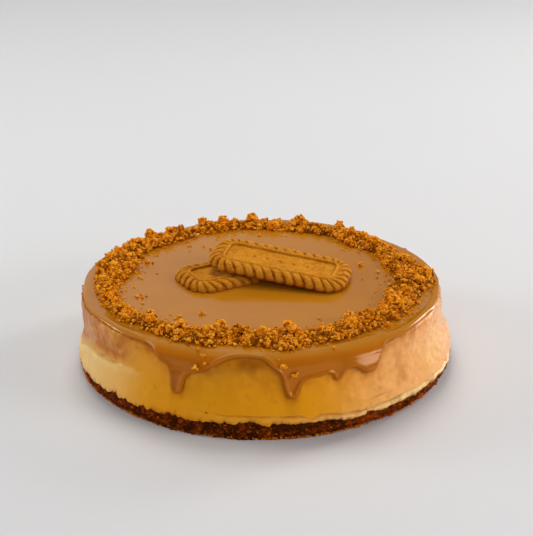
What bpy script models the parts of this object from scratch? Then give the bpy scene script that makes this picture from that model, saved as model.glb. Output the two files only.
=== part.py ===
"""A whole baked cheesecake: crumb base, filling, poured spread with drips, a ring of crumbs, two biscuits on top."""

import math
import random

import bmesh
import bpy
import numpy as np
from mathutils import Euler, Matrix, Vector

# Lengths are in millimetres and angles in degrees; MM turns a finished mesh into metres.
MM = 0.001
GAP = 0.3

# The side of the cake: heights, and the radius there at the left (-X) and at the right (+X).
SIDE_Z = (0, 4, 9, 15, 21, 27, 32, 36, 40)
SIDE_LEFT = (100.4, 103.0, 102.4, 100.4, 99.4, 99.1, 99.2, 99.3, 99.2)
SIDE_RIGHT = (96.4, 102.2, 102.9, 101.6, 99.1, 96.9, 96.3, 96.5, 96.1)
NOMINAL_R = 98.0
SLOW_WAVE = 0.35
SHORT_WAVE = 0.25

# The soft ledge baked into the left side, rising towards the front.
LEDGE_AT = -151.0
LEDGE_REACH = 20.0
LEDGE_Z = 22.2
LEDGE_RISE = 0.19
LEDGE_DEPTH = 0.9

# The fine seam low on the front, from its left end to its right end.
SEAM_Z = 12.5
SEAM_FROM = -106.0
SEAM_TO = -28.0
SEAM_STEP_AT = -52.0
SEAM_STEP = 2.2
SEAM_DEPTH = 0.7

# Layers.
BASE_TOP = 8.5
BASE_ROUGHNESS = 0.55
FILLING_TOP = 40.6
SHOULDER_Z = (39.6, 40.95, 41.2)
SHOULDER_SHARE = (1.0, 0.99, 0.965)
SPREAD_TOP = 43.0
SPREAD_RIM_Z = 41.9
SPREAD_EDGE_Z = 39.4
SPREAD_INNER_Z = 41.3
SPREAD_THICK = 1.3
RIM_OUT = 0.4
BODY_STEPS = 100

# Where the spread runs over: broad aprons as (from, full from, full to, to, depth),
# and drips as (angle, half width, height of the tip).
ROLLED_EDGE = 41.2
APRONS = (
    (-131, -120, -112, -100, 8.7),
    (-91, -85.5, -57, -52, 8.9),
    (28, 38, 46, 56, 6.0),
    (112, 120, 131, 140, 7.0),
)
DRIPS = (
    (-116.8, 2.7, 20.0),
    (-82.6, 2.6, 22.0),
    (-69.6, 1.3, 27.8),
    (-60.5, 2.9, 28.2),
    (43.0, 2.6, 25.0),
    (88.0, 2.4, 31.0),
    (124.0, 2.7, 22.5),
)
SPREAD_STEPS = 118
STEEPEST = 2.5
DRIP_DENSITY = 4.0
DRIP_SPAN = 4.0

# The ring of crumbs: angles, and its inner and outer radius there.
RING_AT = (0, 30, 45, 60, 90, 120, 150, 165, 180, 210, 240, 270, 300, 330, 360)
RING_INNER = (69, 72, 74, 74, 76, 77, 73, 70, 74, 72, 72, 69, 70, 69, 69)
RING_OUTER = (95, 92, 93, 93, 89, 92, 94, 95, 94, 92, 88, 85, 85, 85, 95)
RING_CORE_HEIGHT = 3.0
CORE_ROUGHNESS = 0.7
RING_STEPS = 60
CLUMP_COUNT = 100
CLUMP_LARGE = 5.8
CLUMP_SMALL = 2.8

# Biscuits: outline, thickness and the recessed panel, then each one's place and turn.
BISCUIT_LENGTH = 78.0
BISCUIT_WIDTH = 35.5
BISCUIT_THICK = 5.6
BISCUIT_CORNER = 12.5
BISCUIT_FLUTES = 37
FLUTE_DEPTH = 0.45
PANEL_INSET = 9.0
PANEL_DEPTH = 1.2
DOCKER_HOLES = 5
DOCKER_PITCH = 7.5
DOCKER_RADIUS = 0.8
DOCKER_DEPTH = 1.4
LOWER_AT = (-11.2, 12.2, 42.2)
LOWER_TURN = (0.0, 0.0, 29.5)
UPPER_AT = (8.6, 5.2, 48.1)
UPPER_TURN = (4.9, 6.2, -15.0)


def step(x, start, end):
    """0 before start, 1 after end, smooth between."""
    t = min(1.0, max(0.0, (x - start) / (end - start)))
    return t * t * (3 - 2 * t)


def hump(angle, middle, reach):
    """1 at the middle angle, 0 beyond its reach to either side, smooth between."""
    away = abs((angle - middle + 180) % 360 - 180)
    return 1 - step(away, 0, reach)


def side_radius(angle, z):
    """Radius of the cake's side, from its left and right outlines, with slow waves round it."""
    share = 0.5 + 0.5 * math.cos(math.radians(angle))
    radius = share * np.interp(z, SIDE_Z, SIDE_RIGHT)
    radius += (1 - share) * np.interp(z, SIDE_Z, SIDE_LEFT)
    radius += SLOW_WAVE * math.sin(math.radians(5 * angle) + 0.09 * z)
    radius += SHORT_WAVE * math.sin(math.radians(9 * angle + 60) - 0.13 * z)
    return radius + ledge(angle, z) - seam(angle, z)


def ledge(angle, z):
    """Bulge under the ledge on the left side and hollow above it."""
    above = z - LEDGE_Z - LEDGE_RISE * (angle - LEDGE_AT)
    fade = hump(angle, LEDGE_AT, LEDGE_REACH) * math.exp(-((above / 8) ** 2))
    return -LEDGE_DEPTH * fade * math.tanh(above / 1.6)


def seam_height(angle):
    """Height of the seam, which lifts a little past the middle of the front."""
    return SEAM_Z + SEAM_STEP * hump(angle, SEAM_STEP_AT, 10)


def seam(angle, z):
    """Depth of the seam's groove."""
    along = step(angle, SEAM_FROM - 4, SEAM_FROM + 4) * (1 - step(angle, SEAM_TO - 4, SEAM_TO + 4))
    return SEAM_DEPTH * along * max(0.0, 1 - abs(z - seam_height(angle)))


def layer_edge(angle):
    """Height at the outside where the base meets the filling."""
    waves = 0.3 * math.sin(math.radians(23 * angle)) + 0.15 * math.sin(math.radians(37 * angle + 50))
    return 7.8 + 1.7 * hump(angle, -90, 60) - 2.4 * hump(angle, -18, 32) + waves


def spread_edge(angle):
    """Height of the lower edge of the spread: a rolled edge, with aprons and drips that hang below it."""
    height = ROLLED_EDGE - 0.35 * math.sin(math.radians(7 * angle)) - 0.25 * math.sin(math.radians(13 * angle))
    for start, full, full_end, end, depth in APRONS:
        height -= depth * step(angle, start, full) * (1 - step(angle, full_end, end))
    lowest = height
    for middle, half, tip in DRIPS:
        away = abs(angle - middle) / half
        body = (1 - away**2.6) ** (1 / 2.6) if away < 1 else 0.0
        flare = 0.16 * math.exp(-((away / 1.7) ** 2))
        lowest = min(lowest, height - (height - tip) * min(1.0, 0.84 * body + flare))
    return lowest


def rough(angle, z, seed):
    """A repeatable uneven value between about -1 and 1 over the side."""
    value = 0.0
    for count, lift, weight in ((31, 0.9, 0.5), (47, -1.7, 0.35), (73, 2.3, 0.3)):
        value += weight * math.sin(math.radians(count * angle) + lift * z + seed * count)
    return value


def new_object(name, collection, mesh=None):
    """An object with a mesh, in the collection."""
    obj = bpy.data.objects.new(name, mesh or bpy.data.meshes.new(name))
    collection.objects.link(obj)
    return obj


def bake(obj):
    """Applies the object's modifiers to its mesh."""
    bpy.context.view_layer.update()
    evaluated = obj.evaluated_get(bpy.context.evaluated_depsgraph_get())
    mesh = bpy.data.meshes.new_from_object(evaluated)
    obj.modifiers.clear()
    obj.data = mesh


def turned(name, collection, profile, steps, ring=False):
    """Turns a profile of (radius, height), from top to bottom down the outer side, about Z."""
    mesh = bpy.data.meshes.new(name)
    points = [(r, 0.0, z) for r, z in profile]
    edges = [(i, i + 1) for i in range(len(points) - 1)]
    if ring:
        edges.append((len(points) - 1, 0))
    mesh.from_pydata(points, edges, [])
    obj = new_object(name, collection, mesh)
    screw = obj.modifiers.new("turn", "SCREW")
    screw.steps = steps
    screw.render_steps = steps
    screw.use_merge_vertices = True
    screw.merge_threshold = 0.0001
    bake(obj)
    return obj


def reshape(obj, place):
    """Moves each point of a turned mesh: place takes angle, radius and height and gives x, y and z."""
    for vertex in obj.data.vertices:
        x, y, z = vertex.co
        radius = math.hypot(x, y)
        angle = math.degrees(math.atan2(y, x)) if radius > 0.01 else 0.0
        vertex.co = place(angle, radius, z)


def polar(angle, radius, z):
    """The point at this angle and radius."""
    a = math.radians(angle)
    return Vector((radius * math.cos(a), radius * math.sin(a), z))


def paint(obj, colour, roughness, smooth=True):
    """Gives the object its own material, turns its faces outwards and brings it to metres."""
    material = bpy.data.materials.new(obj.name)
    material.use_nodes = True
    shader = material.node_tree.nodes["Principled BSDF"]
    shader.inputs["Base Color"].default_value = (*colour, 1.0)
    shader.inputs["Roughness"].default_value = roughness
    shader.inputs["Metallic"].default_value = 0.0
    material.diffuse_color = (*colour, 1.0)
    obj.data.materials.clear()
    obj.data.materials.append(material)
    obj.data.transform(Matrix.Scale(MM, 4))
    bm = bmesh.new()
    bm.from_mesh(obj.data)
    bmesh.ops.recalc_face_normals(bm, faces=bm.faces)
    for face in bm.faces:
        face.smooth = smooth
    bm.to_mesh(obj.data)
    bm.free()


def combine(obj, operation, pieces):
    """Adds a collection of pieces to the object, or cuts them from it, and removes them."""
    boolean = obj.modifiers.new("combine", "BOOLEAN")
    boolean.operation = operation
    boolean.operand_type = "COLLECTION"
    boolean.collection = pieces
    boolean.solver = "MANIFOLD"
    bake(obj)
    for piece in list(pieces.objects):
        bpy.data.objects.remove(piece)
    bpy.data.collections.remove(pieces)


def helpers(name):
    """A collection for pieces that are joined or cut, hidden from a render."""
    collection = bpy.data.collections.new(name)
    bpy.context.scene.collection.children.link(collection)
    collection.hide_render = True
    return collection


def wire(obj):
    """Marks a cutter or guide."""
    obj.hide_render = True
    obj.display_type = "WIRE"


def biscuit_base(collection):
    """The pressed crumb layer: craggy at the side, flat underneath, its upper edge uneven."""
    profile = [
        (0, BASE_TOP),
        (0.93 * NOMINAL_R, BASE_TOP),
        (NOMINAL_R, BASE_TOP),
        (NOMINAL_R, 0.68 * BASE_TOP),
        (NOMINAL_R, 0.36 * BASE_TOP),
        (NOMINAL_R, 1.0),
        (0.985 * NOMINAL_R, 0),
        (0, 0),
    ]
    obj = turned("biscuit_base", collection, profile, BODY_STEPS)

    def place(angle, radius, z):
        outside = radius > 0.95 * NOMINAL_R
        top = layer_edge(angle) if outside else BASE_TOP
        z *= top / BASE_TOP
        crag = BASE_ROUGHNESS * rough(angle, z, 1) if outside and z < top - 0.5 else 0.0
        return polar(angle, radius * side_radius(angle, z) / NOMINAL_R + crag, z)

    reshape(obj, place)
    paint(obj, (0.105, 0.032, 0.007), 0.95, smooth=False)
    return obj


def cheesecake_filling(collection):
    """The baked filling: a belly low down, a slight waist, a ledge at the left and a seam at the front."""
    profile = [
        (0, FILLING_TOP),
        (0.9 * NOMINAL_R, FILLING_TOP),
        (SHOULDER_SHARE[2] * NOMINAL_R, SHOULDER_Z[2]),
        (SHOULDER_SHARE[1] * NOMINAL_R, SHOULDER_Z[1]),
        (NOMINAL_R, SHOULDER_Z[0]),
        (NOMINAL_R, 34),
        (NOMINAL_R, 27),
        (NOMINAL_R, 22.5),
        (NOMINAL_R, 18),
        (NOMINAL_R, SEAM_Z + 1.1),
        (NOMINAL_R, SEAM_Z),
        (NOMINAL_R, SEAM_Z - 1.1),
        (0.998 * NOMINAL_R, BASE_TOP + GAP),
        (0.93 * NOMINAL_R, BASE_TOP + GAP),
        (0, BASE_TOP + GAP),
    ]
    obj = turned("cheesecake_filling", collection, profile, BODY_STEPS)

    def place(angle, radius, z):
        if radius > 0.95 * NOMINAL_R and z < BASE_TOP + 1:
            z += layer_edge(angle) - BASE_TOP + 1.5 * GAP
        elif z < 18:
            z += (seam_height(angle) - SEAM_Z) * step(z, BASE_TOP, SEAM_Z)
        return polar(angle, radius * side_radius(angle, z) / NOMINAL_R, z)

    reshape(obj, place)
    paint(obj, (0.68, 0.36, 0.11), 0.6)
    return obj


def column_angles():
    """Angles of the spread's columns, closer together at the drips and where the edge is steep."""
    fine = np.linspace(-180, 180, 3601)
    slope = np.abs(np.gradient([spread_edge(angle) for angle in fine], fine))
    density = 1 + np.minimum(slope, STEEPEST)
    for middle, _, _ in DRIPS:
        density += DRIP_DENSITY * np.exp(-(((fine - middle) / DRIP_SPAN) ** 2))
    total = np.concatenate([[0.0], np.cumsum((density[1:] + density[:-1]) / 2)])
    return np.interp(np.arange(SPREAD_STEPS) / SPREAD_STEPS * total[-1], total, fine)


def outline(place, inset):
    """Point of the biscuit's rounded outline at this share of the way round, moved in by the inset."""
    straight_x = BISCUIT_LENGTH / 2 - BISCUIT_CORNER
    straight_y = BISCUIT_WIDTH / 2 - BISCUIT_CORNER
    arc = BISCUIT_CORNER * math.pi / 2
    quarter = straight_x + straight_y + arc
    way = (place % 1.0) * 4 * quarter
    side = int(way // quarter)
    way -= side * quarter
    if side % 2:
        way = quarter - way
    if way < straight_y:
        point = Vector((BISCUIT_LENGTH / 2 - inset, way))
    elif way < straight_y + arc:
        turn = (way - straight_y) / BISCUIT_CORNER
        reach = BISCUIT_CORNER - inset
        point = Vector((straight_x + reach * math.cos(turn), straight_y + reach * math.sin(turn)))
    else:
        point = Vector((quarter - way, BISCUIT_WIDTH / 2 - inset))
    return Vector((point.x if side in (0, 3) else -point.x, point.y if side < 2 else -point.y))


def imprint(pieces):
    """Cutter for the shallow bed that the lower biscuit has pressed into the spread."""
    bm = bmesh.new()
    steps = 2 * BISCUIT_FLUTES
    ring = [bm.verts.new((*outline(i / steps, -2 * GAP), LOWER_AT[2] - GAP)) for i in range(steps)]
    floor = bm.faces.new(ring)
    raised = bmesh.ops.extrude_face_region(bm, geom=[floor])
    top = [v for v in raised["geom"] if isinstance(v, bmesh.types.BMVert)]
    bmesh.ops.translate(bm, verts=top, vec=(0, 0, 6))
    bmesh.ops.recalc_face_normals(bm, faces=bm.faces)
    turn = Matrix.Rotation(math.radians(LOWER_TURN[2]), 4, "Z")
    bmesh.ops.transform(bm, matrix=turn, verts=bm.verts)
    bmesh.ops.translate(bm, verts=bm.verts, vec=(LOWER_AT[0], LOWER_AT[1], 0))
    obj = new_object("imprint", pieces)
    bm.to_mesh(obj.data)
    bm.free()
    wire(obj)


def spread_profile():
    """Section of the spread with a skirt of nominal height: level top, rounded rim, skirt, then its inner side."""
    skirt = SPREAD_RIM_Z - SPREAD_EDGE_Z
    inside = SPREAD_INNER_Z - SPREAD_EDGE_Z
    profile = [(0, SPREAD_TOP), (0.95 * NOMINAL_R, SPREAD_TOP), (0.985 * NOMINAL_R, SPREAD_TOP - 0.3)]
    for out, down in ((RIM_OUT, 0), (SPREAD_THICK, 0.4), (1.15 * SPREAD_THICK, 0.75), (SPREAD_THICK, 0.94), (0.75, 1)):
        profile.append((NOMINAL_R + out, SPREAD_RIM_Z - down * skirt))
    for up in (0, 0.5, 0.88, 1):
        profile.append((NOMINAL_R, SPREAD_EDGE_Z + up * inside))
    profile.append((SHOULDER_SHARE[2] * NOMINAL_R, SHOULDER_Z[2] + 1.2 * GAP))
    profile.append((0.9 * NOMINAL_R, FILLING_TOP + 1.2 * GAP))
    profile.append((0, FILLING_TOP + 1.2 * GAP))
    return profile


def spread_glaze(collection):
    """The poured spread: a level top, a rounded rim and a skirt that follows the side down to its drips."""
    obj = turned("spread_glaze", collection, spread_profile(), SPREAD_STEPS)
    columns = column_angles()

    def place(angle, radius, z):
        if radius < 0.01:
            return Vector((0, 0, z))
        angle = columns[round(angle / 360 * SPREAD_STEPS) % SPREAD_STEPS]
        edge = spread_edge(angle)
        out = radius - NOMINAL_R
        if out > 0.1:
            z = edge + (z - SPREAD_EDGE_Z) * (SPREAD_RIM_Z - edge) / (SPREAD_RIM_Z - SPREAD_EDGE_Z)
            out = RIM_OUT + (out - RIM_OUT) * step(SPREAD_RIM_Z - edge, 0.6, 4)
            return polar(angle, side_radius(angle, z) + out, z)
        if out > -0.1:
            z = edge + (z - SPREAD_EDGE_Z) * (SPREAD_INNER_Z - edge) / (SPREAD_INNER_Z - SPREAD_EDGE_Z)
            share = float(np.interp(z - 1.2 * GAP, SHOULDER_Z, SHOULDER_SHARE))
            return polar(angle, share * side_radius(angle, z) + 2 * GAP, z)
        return polar(angle, radius * side_radius(angle, z) / NOMINAL_R, z)

    reshape(obj, place)
    pieces = helpers("bed")
    imprint(pieces)
    combine(obj, "DIFFERENCE", pieces)
    paint(obj, (0.36, 0.19, 0.06), 0.25)
    return obj


def ring_span(angle):
    """Inner and outer radius of the crumb ring at this angle."""
    return (
        float(np.interp(angle % 360, RING_AT, RING_INNER)),
        float(np.interp(angle % 360, RING_AT, RING_OUTER)),
    )


def clump(index, centre, size, draw, pieces):
    """One crumb of the ring: a small uneven lump with few sides."""
    bm = bmesh.new()
    bmesh.ops.create_icosphere(bm, subdivisions=1, radius=size / 2)
    stretch = Matrix.Diagonal((draw.uniform(0.8, 1.15), draw.uniform(0.8, 1.15), draw.uniform(0.8, 1.0), 1))
    turn = Euler([draw.uniform(0, 6.28) for _ in range(3)]).to_matrix().to_4x4()
    bmesh.ops.transform(bm, matrix=stretch @ turn, verts=bm.verts)
    lowest = min(v.co.z for v in bm.verts)
    floor = SPREAD_TOP + GAP + 0.05
    bmesh.ops.translate(bm, verts=bm.verts, vec=(centre.x, centre.y, max(centre.z, floor - lowest)))
    obj = new_object(f"clump_{index}", pieces)
    bm.to_mesh(obj.data)
    bm.free()


def scatter_clumps(pieces):
    """Spreads the clumps over the ring, largest first, each as far from the others as a few tries allow."""
    draw = random.Random(11)
    placed = []
    for index in range(CLUMP_COUNT):
        size = CLUMP_LARGE - (CLUMP_LARGE - CLUMP_SMALL) * (index / CLUMP_COUNT) ** 0.6
        best = None
        for _ in range(14):
            angle = draw.uniform(0, 360)
            inner, outer = ring_span(angle)
            across = draw.uniform(0, 1)
            radius = inner + size / 2 + across * (outer - inner - size)
            spot = polar(angle, radius, 0)
            apart = min([(spot - other).length for other in placed], default=99.0)
            if best is None or apart > best[0]:
                best = (apart, spot, across)
        _, spot, across = best
        placed.append(spot.copy())
        dome = math.sin(math.pi * (0.12 + 0.76 * across))
        spot.z = SPREAD_TOP + GAP + RING_CORE_HEIGHT * dome + 0.05 * size
        clump(index, spot, size, draw, pieces)


def crumb_ring(collection):
    """The ring of crumbs: a low uneven core with the larger clumps fused on."""
    floor = SPREAD_TOP + GAP + 0.05
    top = floor + RING_CORE_HEIGHT
    profile = [
        (80, top + 0.2),
        (86, top - 0.6),
        (89.5, floor + 1.2),
        (88.5, floor),
        (71.5, floor),
        (70.5, floor + 1.2),
        (74, top - 0.6),
    ]
    obj = turned("crumb_ring", collection, profile, RING_STEPS, ring=True)

    def place(angle, radius, z):
        inner, outer = ring_span(angle)
        share = (radius - 70) / 20
        if z > floor + 0.1:
            z = max(floor + 0.4, z + CORE_ROUGHNESS * rough(angle, radius, 2))
        inner += 1.6 + 0.6 * rough(angle, 0.0, 3)
        outer -= 1.6 + 0.6 * rough(angle, 0.0, 4)
        return polar(angle, inner + share * (outer - inner), z)

    reshape(obj, place)
    pieces = helpers("clumps")
    scatter_clumps(pieces)
    combine(obj, "UNION", pieces)
    paint(obj, (0.48, 0.2, 0.03), 0.9, smooth=False)
    return obj


def docker_holes(pieces):
    """Cutters for the row of pricked holes along the panel."""
    floor = BISCUIT_THICK - PANEL_DEPTH
    for index in range(DOCKER_HOLES):
        bm = bmesh.new()
        bmesh.ops.create_cone(
            bm, cap_ends=True, segments=8, radius1=0.6 * DOCKER_RADIUS, radius2=DOCKER_RADIUS, depth=2 * DOCKER_DEPTH
        )
        shift = (index - (DOCKER_HOLES - 1) / 2) * DOCKER_PITCH
        bmesh.ops.translate(bm, verts=bm.verts, vec=(shift, 0, floor))
        obj = new_object(f"hole_{index}", pieces)
        bm.to_mesh(obj.data)
        bm.free()
        wire(obj)


def biscuit(name, collection, at, turn):
    """One long biscuit: fluted edge, domed border and a recessed panel with pricked holes."""
    half = BISCUIT_WIDTH / 2
    thick = BISCUIT_THICK
    profile = [
        (0, thick - PANEL_DEPTH),
        (half - PANEL_INSET, thick - PANEL_DEPTH),
        (half - PANEL_INSET + 1.0, thick - 0.1),
        (half - 3.4, thick - 0.25),
        (half - 0.9, thick - 1.7),
        (half, 2.6),
        (half - 0.8, 0),
        (0, 0),
    ]
    steps = 2 * BISCUIT_FLUTES
    obj = turned(name, collection, profile, steps)

    def place(angle, radius, z):
        if radius < 0.01:
            return Vector((0, 0, z))
        column = round(angle / 360 * steps)
        flute = FLUTE_DEPTH * (1 if column % 2 else -1) if radius > half - 3 else 0.0
        spot = outline((column + 0.5) / steps, half - radius + flute * (0.6 if z < 0.1 else 1))
        return Vector((spot.x, spot.y, z))

    reshape(obj, place)
    pieces = helpers(f"{name}_holes")
    docker_holes(pieces)
    combine(obj, "DIFFERENCE", pieces)
    spin = Euler([math.radians(a) for a in turn]).to_matrix().to_4x4()
    obj.data.transform(Matrix.Translation(at) @ spin)
    paint(obj, (0.5, 0.24, 0.055), 0.8, smooth=False)
    return obj


def main():
    for obj in list(bpy.data.objects):
        bpy.data.objects.remove(obj)
    collection = bpy.data.collections.new("baked_cheesecake")
    bpy.context.scene.collection.children.link(collection)
    biscuit_base(collection)
    cheesecake_filling(collection)
    spread_glaze(collection)
    crumb_ring(collection)
    biscuit("biscuit_lower", collection, LOWER_AT, LOWER_TURN)
    biscuit("biscuit_upper", collection, UPPER_AT, UPPER_TURN)


main()
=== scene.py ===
"""Looks of the baked cheesecake: filling, crumb base, spread, ring of crumbs and two biscuits."""

import itertools
import math
import random

import bmesh
import bpy
import numpy as np
from mathutils import Euler, Matrix, Vector, kdtree


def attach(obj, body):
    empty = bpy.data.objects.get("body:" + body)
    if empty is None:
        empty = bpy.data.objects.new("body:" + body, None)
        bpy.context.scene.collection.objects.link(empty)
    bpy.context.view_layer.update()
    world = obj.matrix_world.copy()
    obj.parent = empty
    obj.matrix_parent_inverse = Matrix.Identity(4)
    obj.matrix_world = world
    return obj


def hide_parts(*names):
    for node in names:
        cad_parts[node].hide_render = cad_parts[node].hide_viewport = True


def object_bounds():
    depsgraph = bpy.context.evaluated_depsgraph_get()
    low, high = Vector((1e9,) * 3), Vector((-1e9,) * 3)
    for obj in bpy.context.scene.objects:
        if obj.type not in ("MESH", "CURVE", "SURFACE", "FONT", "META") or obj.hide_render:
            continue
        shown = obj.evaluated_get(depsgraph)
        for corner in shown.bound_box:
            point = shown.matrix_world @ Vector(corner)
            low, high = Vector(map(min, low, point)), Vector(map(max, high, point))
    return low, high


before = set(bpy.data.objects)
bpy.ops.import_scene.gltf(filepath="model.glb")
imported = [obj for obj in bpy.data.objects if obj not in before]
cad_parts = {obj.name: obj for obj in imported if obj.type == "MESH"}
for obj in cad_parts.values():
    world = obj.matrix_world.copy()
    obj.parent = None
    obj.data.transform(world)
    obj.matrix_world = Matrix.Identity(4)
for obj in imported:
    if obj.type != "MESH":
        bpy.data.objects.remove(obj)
CAD_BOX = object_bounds()

# Lengths are in millimetres and angles in degrees; MM turns a finished mesh into metres.
MM = 0.001

# The side of the cake: heights, and the radius there at the left (-X) and at the right (+X),
# then the depth of its long and short waves, and the radius at which its unevenness is taken.
SIDE_Z = (0, 4, 9, 15, 21, 27, 32, 36, 40)
SIDE_LEFT = (100.4, 103.0, 102.4, 100.4, 99.4, 99.1, 99.2, 99.3, 99.2)
SIDE_RIGHT = (96.4, 102.2, 102.9, 101.6, 99.1, 96.9, 96.3, 96.5, 96.1)
SLOW_WAVE = 0.35
SHORT_WAVE = 0.25
SIDE_RADIUS = 98.0

# The soft ledge baked into the left side: angles and heights along it, the bulge under it and
# the hollow over it.
LEDGE_LINE = (
    (-176, 11.5), (-168, 15.2), (-163.7, 18.5), (-159.4, 21.0), (-151, 22.7), (-143, 23.9),
    (-134, 25.8),
)
LEDGE_OUT = 1.5
LEDGE_IN = 1.3

# The fine seam low on the front, and the short second crack over it: middle, reach, height and
# rise for each degree.
SEAM_LINE = (
    (-122, 15.4), (-114, 14.8), (-110, 13.5), (-103, 12.7), (-92, 12.7), (-80, 12.3),
    (-77.2, 11.2), (-74, 12.5), (-70, 11.7), (-62, 11.2), (-50, 11.4), (-40, 11.4),
    (-27, 11.1), (-8, 10.8),
)
SECOND_CRACK = (-55, 7, 15.4, 0.08)

# Where the filling's side starts to turn from wrinkled to lumpy and pitted, on its right, and
# where it is fully so.
RIGHT_SIDE = (-75, -50)

# Layers. The filling's rows bend, so that LAYER_Z lies on the line over the base and SEAM_Z on
# the seam. From PLAIN_Z up they are level, and from TURN_Z up evenly spaced over the edge.
LAYER_Z = 8.0
SEAM_Z = 12.5
PLAIN_Z = 18
TURN_Z = 37.0
FILLING_TOP = 42.0
SPREAD_TOP = 43.0
SPREAD_THICK = 1.5

# Hidden ends of the pieces: the filling's foot, the base's top behind the filling, the spread's
# underside, and the underside and foot of the ring's core. A row drawn in by TO_AXIS closes up.
FILLING_FOOT = 5.4
BASE_TOP = 9.6
SPREAD_UNDER_RADIUS = 60.0
SPREAD_UNDER_Z = 41.2
RING_UNDER = 42.4
RING_FOOT = 42.6
TO_AXIS = 200.0

# How far every point stays inside the box of the CAD part.
CLEARANCE = 0.02

# Columns of points round each turned piece.
FILLING_COLUMNS = 840
BASE_COLUMNS = 1200
SPREAD_COLUMNS = 960
RING_COLUMNS = 900

# Angles at which lines round the side are worked out, and the step along such a line in mm.
FINE_ROUND = np.linspace(-180, 180, 7201)
EDGE_STEP = 0.12

# Rounding of the filling's top edge, how far in and how far down it starts: where the spread
# rolls, and where it flows over.
ROLLED_ROUND = (4.0, 2.1)
FLOWING_ROUND = (7.5, 4.0)

# How much higher a point on the rounding looks from the front for each mm that it lies further in.
LEAN = 0.41

# Lower edge of the spread round the front as (angle, height).
FRONT_EDGE = (
    (-160, 41.6), (-144.7, 42.0), (-140.6, 41.8), (-134.3, 42.0), (-129.8, 42.0), (-127.0, 41.6),
    (-124.9, 40.3), (-123.2, 38.0), (-121.5, 35.7), (-119.7, 34.4), (-119.0, 33.1), (-118.7, 29.7),
    (-118.5, 23.0), (-117.5, 20.4), (-116.4, 19.8), (-114.9, 20.9), (-114.2, 25.3), (-113.7, 28.4),
    (-112.3, 31.2), (-110.3, 32.5), (-108.4, 33.7), (-106.4, 35.6), (-103.9, 38.6), (-101.8, 40.7),
    (-99.2, 42.4), (-95.4, 43.1), (-91.2, 42.5), (-89.2, 40.4), (-87.6, 37.8), (-86.0, 35.1),
    (-85.2, 32.3), (-84.7, 28.5), (-84.0, 24.4), (-83.0, 22.1), (-82.1, 21.5), (-80.9, 23.0),
    (-79.9, 26.6), (-79.2, 29.1), (-78.1, 30.7), (-76.0, 31.4), (-73.9, 31.6), (-71.3, 32.1),
    (-70.3, 31.4), (-69.3, 28.4), (-68.3, 27.8), (-67.4, 28.6), (-66.0, 32.0), (-64.6, 33.3),
    (-62.9, 33.2), (-61.4, 31.3), (-59.6, 28.9), (-58.0, 28.2), (-56.6, 28.9), (-55.2, 31.4),
    (-54.0, 34.8), (-52.8, 37.8), (-51.0, 40.0), (-48.4, 41.4), (-44, 42.0), (-40, 42.1),
    (-30, 42.5), (-20, 42.0),
)

# The same edge elsewhere: its level, two aprons (four angles and a depth each) and three drips
# (angle, half width and height of the tip).
ROLLED_EDGE = 41.7
BACK_APRONS = ((28, 38, 46, 56, 6.0), (112, 120, 131, 140, 7.0))
BACK_DRIPS = ((43.0, 2.6, 25.0), (88.0, 2.4, 31.0), (124.0, 2.7, 22.5))

# The spread's rolled lip that crosses over the first drip: where, how wide, and its height.
LIP_AT = -116.4
LIP_HALF = 2.6
LIP_Z = 33.4
LIP_THICK = 0.75

# The thick rolled rims on the right and on the left: angle and reach of each, and their
# extra thickness.
RIM_BEADS = ((-27, 34), (-139, 17))
RIM_BEAD_THICK = 0.3

# The thick pool of spread in the apron on the right of the front: angle, height, half width and
# half height in mm, and thickness. A degree is about 1.7 mm at the rim.
POOL_AT = -59.5
POOL_Z = 31.5
POOL_SIZE = (12.5, 7.0)
POOL_THICK = 4.2
MM_PER_DEGREE = 1.7

# The ring of crumbs: angles, and its inner and outer radius there.
RING_AT, RING_INNER, RING_OUTER = zip(
    (0, 68.5, 95.5), (10, 69, 93.5), (20, 70, 88.5), (30, 73, 88.4), (38, 71.5, 88.6),
    (45, 68, 90), (52, 70.5, 91), (60, 74, 93.5), (70, 73.5, 91.5), (80, 73.5, 90),
    (90, 76.5, 86.5), (97, 76.5, 91.5), (105, 77, 93), (113, 77, 94), (121, 75, 88.5),
    (130, 75, 92), (137, 75, 95), (145, 77, 95), (152, 76.5, 95.5), (160, 74, 96),
    (168, 71, 96.5), (180, 75, 93), (190, 78, 93), (200, 80, 91.5), (210, 79, 92),
    (218, 74, 92.5), (225, 75.5, 91), (235, 75, 90), (243, 73.5, 92), (252, 70, 91),
    (258, 68, 85), (265, 67, 86), (272, 67, 88), (277, 66, 91.5), (285, 67, 88),
    (295, 69.5, 87), (302, 69, 87), (310, 66, 87), (318, 65, 89), (325, 69.5, 88),
    (332, 69, 87.5), (340, 68, 88), (346, 65, 89), (352, 67.5, 93), (360, 68.5, 95.5),
)
RING_HEIGHT = 3.1
RING_HIGHEST = 5.2
RING_REACH = 96.5

# The largest clumps of the ring as (angle, radius, size), and how much larger they are made.
BIG_CLUMPS = (
    (-80, 71, 8.8), (-84, 87, 5.4), (-52, 70, 7.2), (-22, 73, 7.0), (-38, 80, 7.0),
    (-109, 72, 8.0), (-122, 80, 7.5), (-138, 80, 7.0), (-66, 78, 6.2), (-96, 78, 6.6),
    (-5, 84, 6.5), (2, 91, 6.0), (38, 82, 6.4), (52, 84, 6.6), (60, 90, 6.2), (76, 89, 6.8),
    (84, 84, 6.0), (95, 88, 7.4), (106, 90, 6.6), (114, 91, 6.6), (128, 86, 6.0),
    (137, 91.5, 6.8), (147, 90, 6.4), (156, 91, 6.6), (163, 92, 6.2), (170, 92, 6.4),
    (182, 88, 6.2), (196, 88, 6.4), (165, 74, 5.6),
)
BIG_CLUMP_GAIN = 1.12

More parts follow.
